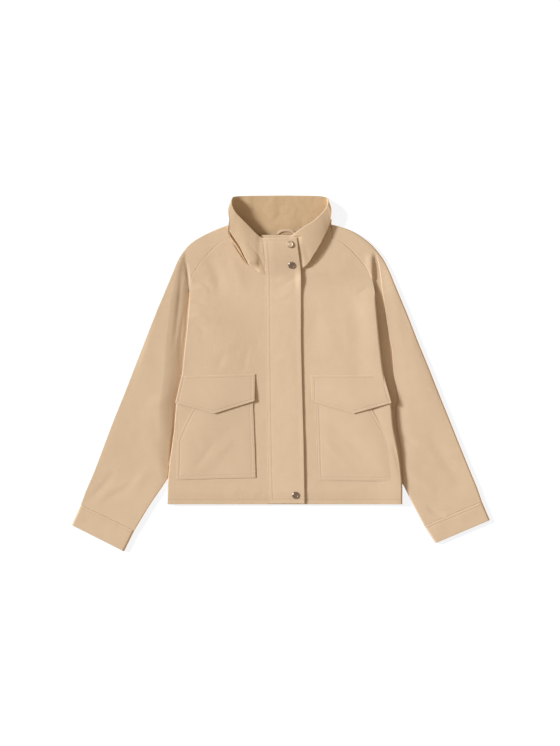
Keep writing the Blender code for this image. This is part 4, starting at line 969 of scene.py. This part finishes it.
def collar_grid(side):
    """A half of the collar from its neck seam to its top edge, row by row from the front to the centre
    back. It stands on its foot up to the turn, and falls from there."""
    rows = blend_rows(COLLAR_ROWS[side], COLLAR_STEPS)
    place = np.arange(len(rows))[:, None] / COLLAR_STEPS
    turn = np.maximum(read(COLLAR_TURN[side], place), 0.0)
    base = COLLAR_SHARES[None, :]
    beyond = turn + (base - TURN_AT) * (1 - turn) / (1 - TURN_AT)
    follow = np.where(base < TURN_AT, base * turn / TURN_AT, beyond)
    keep = np.minimum(turn / FULL_TURN, 1)
    share = base + (follow - base) * keep
    grid = rows[:, None, :3] * (1 - share[..., None]) + rows[:, None, 3:6] * share[..., None]
    x, y = grid[..., 0], grid[..., 1]
    length = np.linalg.norm(rows[:, 3:5] - rows[:, :2], axis=1)[:, None]
    reach = length * (share - turn)
    fallen = np.clip((share - turn) / (1 - turn), 0, 1)
    edge = np.maximum(read(COLLAR_EDGE[side], place), 0.0)
    fall = edge + (rows[:, 5:6] - edge) * fallen + rows[:, 6:7] * np.sin(math.pi * fallen)
    strip = share / np.maximum(turn, 0.01)
    roll = np.sin(math.pi * np.clip(strip / ROLL_SHARE, 0, 1)) ** ROLL_BLUNT
    tuck = smooth((strip - GROOVE_FROM) / GROOVE_OVER)
    foot = rows[:, 2:3] + (COLLAR_ROLL[side] * roll - COLLAR_GROOVE[side] * tuck) * keep
    z = foot + (fall - foot) * smooth(reach / np.maximum(read(COLLAR_RAMP[side], place), 0.001))
    if side == "right":
        beside, under, over = SEWN_UNDER
        level = placket_top(y, 0) - beside - under * smooth((x - read(PLACKET_ROWS, y, 1)) / over)
        z = level + (z - level) * smooth((place - SEWN_ROWS[0]) / SEWN_ROWS[1])
    else:  # it goes under the placket's free edge
        drop, less, low, over = FREE_UNDER
        level = placket_top(y) - drop + less * smooth((y - low) / over)
        beside = smooth((x - read(PLACKET_ROWS, y, 2)) / FREE_BESIDE)
        above = smooth((y - FREE_ABOVE[0]) / FREE_ABOVE[1]) * (place > FREE_ABOVE_ROW)
        beside = np.maximum(beside, above)
        z = np.where((z > level) & (place < FREE_LAST_ROW), level + (z - level) * beside, z)
    front, inside = smooth((FRONT_UNTIL - place) / FRONT_OVER), smooth(place - INSIDE_FROM)
    free = smooth(share / WAVES_FROM_SEAM)
    z = z + front * creased(x, y, COLLAR_CREASES[side])
    z = z + front * uneven(x, y, COLLAR_WAVES) * free
    z = z + inside * np.abs(uneven(x, y, INSIDE_WAVES)) * free
    nearness = hump(place - COLLAR_SIDE_ROW[side], BULGE_ROWS)
    bulge = SIDES[side] * COLLAR_SIDE_BULGE[side] * nearness * np.sin(math.pi * share ** 2)
    return np.stack([x + bulge, y, np.maximum(z, 0.0)], axis=-1)


for side in SIDES:
    cloth(f"{side}_collar_half", collar_grid(side), COLLAR_CLOTH, UP, SHADED_COLLAR_TWILL,
                         [f"collar_{side}"], edges=("start", "end", "low"),
                         at=(4 * COLLAR_STEPS, 30))

# ---- Storm placket -------------------------------------------------------------------------------
# A wide doubled strip that covers the front opening from the hem to the top of the collar. Its right
# edge is sewn down with two rows of stitches; its left edge is free and closes with snaps.

PLACKET_CLOTH, PLACKET_THINNEST = 0.0026, 0.0002
PLACKET_STEP, PLACKET_COLUMNS, PLACKET_ROW = 0.0028, 26, 0.0085  # the last is its second row of stitches
# how the free edge lifts from place to place: height, how far in, and size and seed of its waves
FREE_EDGE_WAVE, FREE_EDGE_WIDTH, FREE_EDGE_SIZE, FREE_EDGE_SEED = 0.0008, 0.012, 0.055, 4.4
NECK_PUFF, NECK_PUFF_Y, NECK_PUFF_HALF, NECK_PUFF_WIDTH = 0.0034, 0.210, 0.020, 0.016
PLACKET_WAVES = ((0.0002, 0.020, 9.3),)
TOP_PUCKERS, PUCKERS_FROM, PUCKERS_OVER = ((0.0002, 0.008, 5.9),), 0.286, 0.012
PLACKET_NECK_Y, PLACKET_NECK_OVER = 0.222, 0.010  # above it, the placket rides on the collar
PLACKET_CREASES = [
    (((-0.019, 0.186), (0.010, 0.200), (0.039, 0.221)), -0.0006, 0.0060, 0.7),
    (((-0.010, 0.170), (0.010, 0.176), (0.030, 0.190)), 0.0004, 0.0060, 0.7),
    (((-0.022, 0.162), (0.000, 0.160), (0.022, 0.166)), -0.0004, 0.0050, 0.7),
    (((-0.014, 0.030), (0.006, 0.036), (0.028, 0.030)), 0.0004, 0.0060, 0.8),
]


def placket_grid():
    """The placket from its sewn edge to its free one, and its thickness, which is less where it lies
    flat on the front."""
    low, high = PLACKET_ROWS[0][0], PLACKET_ROWS[-1][0]
    levels = levels_between(low, high, PLACKET_STEP, start=HEM_SPOTS, end=STITCH_SPOTS)
    borders = [edge_points(PLACKET_ROWS, levels, column) for column in (1, 2)]
    x, y, from_sewn, from_free = spread(*borders, STITCH_SPOTS, STITCH_SPOTS, PLACKET_COLUMNS)
    across = from_sewn / (from_sewn + from_free)
    z = placket_top(y, across) + creased(x, y, PLACKET_CREASES)
    on_body = smooth((PLACKET_NECK_Y - y) / PLACKET_NECK_OVER)
    lifted = 0.5 + 0.5 * drape(np.zeros_like(y), y, FREE_EDGE_SIZE, FREE_EDGE_SEED)
    z += FREE_EDGE_WAVE * lifted * (1 - smooth(from_free / FREE_EDGE_WIDTH)) * on_body
    z += NECK_PUFF * hump(y - NECK_PUFF_Y, NECK_PUFF_HALF) * (1 - smooth(from_free / NECK_PUFF_WIDTH))
    z += uneven(x, y, PLACKET_WAVES)
    z += smooth((y - PUCKERS_FROM) / PUCKERS_OVER) * uneven(x, y, TOP_PUCKERS)
    room = placket_top(y, across) - placket_top(y, 0) + PLACKET_SEAM - PLACKET_THINNEST
    thickness = np.where(y > PLACKET_NECK_Y, PLACKET_CLOTH, np.minimum(PLACKET_CLOTH, room))
    return np.stack([x, y, z], axis=-1), thickness


grid, thickness = placket_grid()
cloth("placket_strip", grid, thickness, UP, BODY_TWILL, ["storm_placket"],
      sewn={"start": (EDGE_ROW, PLACKET_ROW), "low": (HEM_ROW,), "high": (SINGLE_ROW,)})

# ---- Pockets -------------------------------------------------------------------------------------
# A patch pocket in two layers on each front, with a slanted hand entry at its outer side, under a
# pointed flap that is sewn down along its top. All edges are turned in and topstitched.

POCKET_TWILL = twill("pocket_twill_cloth", (0.636, 0.459, 0.299), PALE_TAN, spread=0.06)
POCKET_CLOTH, FLAP_CLOTH = 0.0009, 0.0017
# outer faces over the front: at the edge that is pressed flat, and at the fuller one
POCKET_HEIGHT = {"base": (0.0005, 0.0010), "front": (0.0008, 0.0021)}
POCKET_DOME, POCKET_SWELL = {"base": 0.0, "front": 0.0006}, 0.030  # and how far in from the edge it is full
POCKET_STEP, POCKET_COLUMNS, FLAP_COLUMNS = 0.0026, 48, 20
POCKET_WAVES, FLAP_WAVES = ((0.0003, 0.034, 6.1),), ((0.0003, 0.030, 2.9),)
FLAP_LENGTH = 0.072  # where it is at its highest
POCKET_PRESSED = {"left": "inner", "right": "outer"}
POCKET_ROWS = {  # y, inner x and outer x, of the back layer and of the front one with its slanted entry
    "base": {
        "left": [(-0.018, 0.0740, 0.2300), (-0.068, 0.0765, 0.2415), (-0.160, 0.0790, 0.2495),
                 (-0.2385, 0.0815, 0.2565)],
        "right": [(-0.018, 0.0640, 0.2240), (-0.066, 0.0635, 0.2325), (-0.150, 0.0600, 0.2335),
                  (-0.2325, 0.0572, 0.2345)],
    },
    "front": {
        "left": [(-0.022, 0.0740, 0.1710), (-0.050, 0.0755, 0.1840), (-0.081, 0.0770, 0.2030),
                 (-0.120, 0.0782, 0.2262), (-0.160, 0.0795, 0.2500), (-0.200, 0.0805, 0.2535),
                 (-0.2400, 0.0815, 0.2570)],
        "right": [(-0.022, 0.0640, 0.1695), (-0.050, 0.0637, 0.1838), (-0.080, 0.0630, 0.1990),
                  (-0.124, 0.0610, 0.2214), (-0.150, 0.0600, 0.2322), (-0.200, 0.0584, 0.2338),
                  (-0.2335, 0.0572, 0.2350)],
    },
}
POCKET_LAYER = {"base": "back_layer", "front": "patch"}
POCKET_SEWN = {"base": {"end": (EDGE_ROW,)},
               "front": {"start": (EDGE_ROW, INNER_ROW), "end": (SINGLE_ROW,), "low": (EDGE_ROW, INNER_ROW)},
               "flap": {"low": (EDGE_ROW, INNER_ROW), "high": (SINGLE_ROW,), "start": (SINGLE_ROW,),
                        "end": (SINGLE_ROW,)}}
POCKET_FOOT_DROP = {"left": 0.0010, "right": 0.0045}
POCKET_FOOT, POCKET_FOOT_OVER = -0.16, 0.06  # below this, the outer corner hangs lower
POCKET_FULL, POCKET_FULL_OVER = -0.100, 0.080  # above this, it is full right across
POCKET_FOOT_MARGIN, PRESSED_CLOTH, FULLER_CLOTH, FLAP_START = 0.0045, 0.0003, 0.0008, 0.002
FLAP_SEAM = {"left": [(0.0665, -0.0040), (0.2300, -0.0040)], "right": [(0.0585, -0.0010), (0.2235, -0.0060)]}
FLAP_FOOT = {"left": [(0.0685, -0.0620), (0.1620, -0.0900), (0.2472, -0.0662)],
             "right": [(0.0595, -0.0620), (0.1500, -0.0900), (0.2372, -0.0652)]}
FLAP_HEIGHT = {"seam": 0.0020, "foot": 0.0062}
POCKET_CREASES = {
    "right": [(((-0.170, -0.219), (-0.136, -0.176), (-0.102, -0.129)), 0.0005, 0.0120, 0.8),
              (((-0.200, -0.215), (-0.175, -0.190), (-0.150, -0.150)), -0.0006, 0.0080, 0.8)],
    "left": [(((0.100, -0.106), (0.160, -0.160), (0.213, -0.219)), -0.0006, 0.0140, 0.8),
             (((0.092, -0.140), (0.130, -0.190), (0.170, -0.226)), 0.0007, 0.0110, 0.8)],
}


def pocket_grid(side, layer):
    """A layer of a pocket from its inner to its outer edge, and its thickness, which is less where the
    pocket is pressed flat."""
    heights, inners, outers = np.array(sorted(POCKET_ROWS[layer][side])).T
    levels = levels_between(heights[0], heights[-1], POCKET_STEP, start=STITCH_SPOTS)
    borders = [np.stack([SIDES[side] * np.interp(levels, heights, edge), levels], axis=1)
               for edge in (inners, outers)]
    x, y, from_inner, from_outer = spread(*borders, STITCH_SPOTS, STITCH_SPOTS, POCKET_COLUMNS)
    share = from_inner / (from_inner + from_outer)
    y = y - POCKET_FOOT_DROP[side] * share * smooth((-y + POCKET_FOOT) / POCKET_FOOT_OVER)
    edge = np.minimum(np.minimum(from_inner, from_outer), y - heights[0] + POCKET_FOOT_MARGIN)
    swell = smooth(edge / POCKET_SWELL)
    full = share if POCKET_PRESSED[side] == "inner" else 1 - share
    full = np.maximum(np.sin(0.5 * math.pi * full), smooth((y - POCKET_FULL) / POCKET_FULL_OVER))
    pressed, fuller = POCKET_HEIGHT[layer]
    height = pressed + (fuller - pressed) * full
    z = front_height(x, y) + height + POCKET_DOME[layer] * swell + uneven(x, y, POCKET_WAVES) * swell
    if layer == "front":
        z = z + creased(x, y, POCKET_CREASES[side]) * swell
    return np.stack([x, y, z], axis=-1), np.minimum(POCKET_CLOTH, PRESSED_CLOTH + FULLER_CLOTH * full)


def flap_grid(side):
    """A pointed flap, each of whose columns runs from the seam down to the foot's edge."""
    start, end = (np.array(corner) for corner in FLAP_SEAM[side])
    inner, point, outer = (np.array(corner) for corner in FLAP_FOOT[side])
    width = np.linalg.norm(end - start)
    places = levels_between(0.0, width, POCKET_STEP, start=STITCH_SPOTS, end=STITCH_SPOTS) / width
    middle = (point - inner)[0] / (outer - inner)[0]
    rows = []
    for share in places:
        seam = start + (end - start) * share
        if share < middle:
            foot = inner + (point - inner) * share / middle
        else:
            foot = point + (outer - point) * (share - middle) / (1 - middle)
        depth = np.linalg.norm(foot - seam)
        ends = np.zeros((1, 2)), np.array([[depth, 0.0]])
        downs = spread(*ends, STITCH_SPOTS, STITCH_SPOTS, FLAP_COLUMNS)[2][0]
        rows.append([seam + (foot - seam) * down / depth for down in downs])
    spots = np.array(rows)
    x, y = SIDES[side] * spots[..., 0], spots[..., 1]
    down = along_lines(np.concatenate([spots, np.zeros_like(spots[..., :1])], axis=2), 1)
    rise = smooth((down + FLAP_START) / FLAP_LENGTH)
    height = FLAP_HEIGHT["seam"] + (FLAP_HEIGHT["foot"] - FLAP_HEIGHT["seam"]) * rise
    z = front_height(x, y) + height + uneven(x, y, FLAP_WAVES) * rise
    return np.stack([x, y, z], axis=-1)


for side in SIDES:
    for layer, label in POCKET_LAYER.items():
        grid, thickness = pocket_grid(side, layer)
        cloth(f"{side}_pocket_{label}", grid, thickness, UP, POCKET_TWILL,
              [f"pocket_{layer}_{side}"], sewn=POCKET_SEWN[layer])
    cloth(f"{side}_pocket_flap_cloth", flap_grid(side), FLAP_CLOTH, UP, POCKET_TWILL,
          [f"pocket_flap_{side}"], sewn=POCKET_SEWN["flap"])

# ---- Hanger loop ---------------------------------------------------------------------------------
# A narrow folded tape, sewn into the back neck seam by both ends.

LOOP_ENDS, LOOP_Y, LOOP_REACH, LOOP_WIDTH, LOOP_CLOTH = (-0.0070, 0.0300), 0.3125, 0.0085, 0.0050, 0.0015
LOOP_SPOTS = (0, 0.05, 0.12, 0.2)  # shares of its width
LOOP_ROWS, LOOP_HEIGHT, LOOP_RISE = 41, 0.0019, 0.0006  # heights over the collar, and more in the middle


def loop_grid():
    """Rows across the tape, round half an oval from one end to the other."""
    middle, half = sum(LOOP_ENDS) / 2, (LOOP_ENDS[1] - LOOP_ENDS[0]) / 2
    spots = levels_between(-0.5, 0.5, 0.1, start=LOOP_SPOTS, end=LOOP_SPOTS)
    rows = []
    for angle in np.linspace(0, math.pi, LOOP_ROWS):
        way = np.array([-math.cos(angle), math.sin(angle)])
        outward = way / (half, LOOP_REACH)
        outward = outward / np.linalg.norm(outward) * LOOP_WIDTH
        centre = np.array([middle, LOOP_Y]) + way * (half, LOOP_REACH)
        height = COLLAR_CLOTH + LOOP_HEIGHT + LOOP_RISE * math.sin(angle)
        rows.append([(*(centre + outward * spot), height) for spot in spots])
    return np.array(rows)


# the tape takes the collar's twill, with its painted shade
loop = cloth("hanger_tape", loop_grid(), LOOP_CLOTH, UP, SHADED_COLLAR_TWILL, ["hanger_loop"],
             edges=("start", "end"))

# ---- Snaps ---------------------------------------------------------------------------------------
# Three caps of aged brass on the placket: a domed rim round a dished face with a plain ring pressed
# in it, each held by a stud that is closed from behind. The top cap's brass is painted paler as lit.

SNAPS = {"snap_collar_top": (0.0200, 0.2890), "snap_collar_base": (0.0235, 0.2425),
         "snap_hem": (0.0320, -0.2730)}
SNAP_LEAN = {"snap_collar_top": (-0.10, 0.12, 0.0)}  # the placket's top corner turns back
SNAP_RADIUS, SNAP_SEGMENTS = 0.0080, 48
SNAP_GAP, SNAP_GAP_LEANING = 0.0001, 0.0005  # under the cap
SNAP_FOOTING = 0.004  # half the length over which the placket's slope is taken
TARNISH_SCALE, TARNISH_ROUGHNESS = 420, 0.25
# (share of the radius, height), from the middle of the face over the rim to the middle of the back
SNAP_PROFILE = [(0.0, 0.0021), (0.20, 0.0021), (0.30, 0.0019), (0.36, 0.0022), (0.44, 0.0022), (0.50, 0.0019),
                (0.64, 0.0019), (0.71, 0.0023), (0.78, 0.0025), (0.86, 0.0023), (0.94, 0.0017), (1.0, 0.0009),
                (0.98, 0.0004), (0.90, 0.0001), (0.0, 0.0)]


def brass(name, deep, pale, rough):
    """Brass with small spots of tarnish, which are darker and smoother."""
    made, shader = principled(name, Metallic=1.0)
    tree = made.node_tree
    tarnish = noise_at(tree, add_node(tree, "ShaderNodeTexCoord").outputs["Object"], TARNISH_SCALE, 3)
    colours = {"Factor": tarnish, "A": (*deep, 1), "B": (*pale, 1)}
    tones = add_node(tree, "ShaderNodeMix", colours, data_type="RGBA")
    tree.links.new(tones.outputs["Result"], shader["Base Color"])
    tree.links.new(maths(tree, "MULTIPLY_ADD", tarnish, TARNISH_ROUGHNESS, rough), shader["Roughness"])
    return made


def snap_cap(name, seat, turn):
    """The cap's profile, turned about its own axis, which is turned to stand on the placket."""
    mesh = bmesh.new()
    rings = []
    for share, height in SNAP_PROFILE:
        count = SNAP_SEGMENTS if share else 1
        ring = []
        for i in range(count):
            angle = 2 * math.pi * i / SNAP_SEGMENTS
            around = Vector((math.cos(angle), math.sin(angle), 0)) * share * SNAP_RADIUS
            ring.append(mesh.verts.new(seat + turn @ (around + Vector((0, 0, height)))))
        rings.append(ring * (SNAP_SEGMENTS // count))
    for above, below in zip(rings, rings[1:]):
        for i in range(SNAP_SEGMENTS):
            j = (i + 1) % SNAP_SEGMENTS
            corners = [above[i], below[i], below[j], above[j]]
            mesh.faces.new([v for k, v in enumerate(corners) if v not in corners[:k]])
    data = bpy.data.meshes.new(name)
    mesh.to_mesh(data)
    mesh.free()
    data.shade_smooth()
    return data


AGED = brass("aged_brass", (0.27, 0.205, 0.175), (0.46, 0.36, 0.28), 0.22)
# a paler copy of the same brass for the top cap, which faces the key light: painted light
PAINTED_LIGHT_BRASS = brass("brass_painted_light", (0.48, 0.36, 0.24), (0.66, 0.50, 0.34), 0.46)
for name, (x, y) in SNAPS.items():
    leaning = name in SNAP_LEAN
    rise = float(placket_top(y + SNAP_FOOTING) - placket_top(y - SNAP_FOOTING))
    slope = rise / (2 * SNAP_FOOTING)
    normal = (Vector((0, -slope, 1)).normalized() + Vector(SNAP_LEAN.get(name, (0, 0, 0)))).normalized()
    seat = Vector((x, y, float(placket_top(y)))) + normal * (SNAP_GAP_LEANING if leaning else SNAP_GAP)
    data = snap_cap(name + "_cap", seat, normal.to_track_quat("Z", "Y").to_matrix())
    # the leaning top cap takes the paler brass: painted light
    data.materials.append(PAINTED_LIGHT_BRASS if leaning else AGED)
    cap = put_in_scene(name + "_cap", data)
    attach(cap, "root")
    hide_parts(name)

# ---- Topstitching --------------------------------------------------------------------------------
# Rows of short stitches along the hem, placket, pockets, flaps and cuffs, in thread of the cloth's hue
# painted darker as the shade of the stitch holes. Each one dips into the cloth at both ends.

STITCH_PITCH, STITCH_LENGTH, THREAD_WIDTH, THREAD_HEIGHT = 0.0034, 0.0026, 0.0006, 0.0005
# darker than the cloth: painted shade of the stitch holes and of the threads' own shadows
SHADED_THREAD = twill("sewing_thread_painted_shade", (0.440, 0.300, 0.180), (0.50, 0.35, 0.22), spread=0.05, ribs=0.0005, bump=0.2)


def stitch_tree():
    """Stitches along seam lines: beads that stand upright on the cloth's face and point along the line."""
    tree, given, end = node_group(
        "row_of_stitches",
        [("Seam lines", "NodeSocketGeometry", None), ("Stitch pitch", "NodeSocketFloat", STITCH_PITCH),
         ("Stitch length", "NodeSocketFloat", STITCH_LENGTH),
         ("Thread width", "NodeSocketFloat", THREAD_WIDTH),
         ("Thread height", "NodeSocketFloat", THREAD_HEIGHT), ("Thread", "NodeSocketMaterial", None)],
        [("Stitches", "NodeSocketGeometry")], kind="GeometryNodeTree")
    curve = add_node(tree, "GeometryNodeMeshToCurve", {"Mesh": given["Seam lines"]})
    even = add_node(tree, "GeometryNodeResampleCurve",
                    {"Curve": curve.outputs["Curve"], "Length": given["Stitch pitch"]}, mode="LENGTH")
    bead = add_node(tree, "GeometryNodeMeshUVSphere", {"Segments": 6, "Rings": 4, "Radius": 0.5})
    size = add_node(tree, "ShaderNodeCombineXYZ",
                    {"X": given["Stitch length"], "Y": given["Thread width"], "Z": given["Thread height"]})
    shaped = add_node(tree, "GeometryNodeTransform",
                      {"Geometry": bead.outputs["Mesh"], "Scale": size.outputs["Vector"]})
    face = add_node(tree, "GeometryNodeInputNamedAttribute", {"Name": "face"}, data_type="FLOAT_VECTOR")
    upright = add_node(tree, "FunctionNodeAlignRotationToVector", {"Vector": face.outputs["Attribute"]},
                       axis="Z")
    tangent = add_node(tree, "GeometryNodeInputTangent")
    along = add_node(tree, "FunctionNodeAlignRotationToVector",
                     {"Rotation": upright.outputs["Rotation"], "Vector": tangent.outputs["Tangent"]},
                     axis="X", pivot_axis="Z")
    placed = add_node(tree, "GeometryNodeInstanceOnPoints",
                      {"Points": even.outputs["Curve"], "Instance": shaped.outputs["Geometry"],
                       "Rotation": along.outputs["Rotation"]})
    real = add_node(tree, "GeometryNodeRealizeInstances", {"Geometry": placed.outputs["Instances"]})
    rounded = add_node(tree, "GeometryNodeSetShadeSmooth", {"Geometry": real.outputs["Geometry"]})
    finished = add_node(tree, "GeometryNodeSetMaterial",
                        {"Geometry": rounded.outputs["Geometry"], "Material": given["Thread"]})
    tree.links.new(finished.outputs["Geometry"], end["Stitches"])
    return tree


def sew():
    """All rows of stitches as one piece of thread on the body."""
    points, edges, faces = [], [], []
    for line, normals in SEWING:
        first = len(points)
        points += [tuple(p) for p in line]
        faces += [tuple(n) for n in normals]
        edges += [(first + i, first + i + 1) for i in range(len(line) - 1)]
    lines = bpy.data.meshes.new("seam_lines")
    lines.from_pydata(points, edges, [])
    marks = lines.attributes.new("face", "FLOAT_VECTOR", "POINT")
    marks.data.foreach_set("vector", np.array(faces, np.float32).ravel())
    holder = put_in_scene("seam_lines", lines)
    work = holder.modifiers.new("row of stitches", "NODES")
    work.node_group = stitch_tree()
    sockets = {item.name: item.identifier for item in work.node_group.interface.items_tree}
    work[sockets["Stitch pitch"]] = STITCH_PITCH
    work[sockets["Thread"]] = SHADED_THREAD
    bpy.context.view_layer.update()
    ready = holder.evaluated_get(bpy.context.evaluated_depsgraph_get())
    data = bpy.data.meshes.new_from_object(ready)
    data.name = "topstitching"
    bpy.data.objects.remove(holder)
    stitches = put_in_scene("topstitching", data)
    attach(stitches, "root")


sew()

# ---- Studio --------------------------------------------------------------------------------------
# A plain white floor, a soft low key light from the upper left of the picture, even light from all
# round, and a long lens straight above.

FLOOR_HALF, FLOOR_Z = 8, -0.0004
FRAME_HEIGHT, DISTANCE, COAT_TOP = 1.6727, 8.0, 0.012  # the picture's height, and the camera's above the coat

floor_data = bpy.data.meshes.new("studio_floor")
corners = [(FLOOR_HALF * x, FLOOR_HALF * y, FLOOR_Z) for x, y in ((-1, -1), (1, -1), (1, 1), (-1, 1))]
floor_data.from_pydata(corners, [], [(0, 1, 2, 3)])
paper, shader = principled("white_paper", Base_Color=(0.30, 0.30, 0.30, 1), Roughness=0.9,
                           Specular_IOR_Level=0.1, Emission_Color=(0.94, 0.965, 1.0, 1),
                           Emission_Strength=0.82)
floor_data.materials.append(paper)
put_in_scene("studio_floor", floor_data)

sun = bpy.data.lights.new("key_light", "SUN")
sun.energy = 4.75
sun.angle = math.radians(12)
sun.color = (0.82, 0.905, 1.0)
key = put_in_scene("key_light", sun)
key.rotation_euler = Vector((-0.96, 0.28, 0.56)).to_track_quat("Z", "Y").to_euler()

world = bpy.data.worlds.new("studio")
world.use_nodes = True
even_light = world.node_tree.nodes["Background"].inputs
even_light["Color"].default_value = (1.0, 0.87, 0.73, 1)
even_light["Strength"].default_value = 0.46
bpy.context.scene.world = world
bpy.context.scene.view_settings.view_transform = "Standard"

lens = bpy.data.cameras.new("long_lens")
lens.sensor_fit = "VERTICAL"
lens.sensor_height = 24.0
lens.lens = lens.sensor_height * DISTANCE / FRAME_HEIGHT
lens.clip_end = 40.0
camera = put_in_scene("camera", lens)
camera.location = (-0.0027, 0.0010, DISTANCE + COAT_TOP)
bpy.context.scene.camera = camera
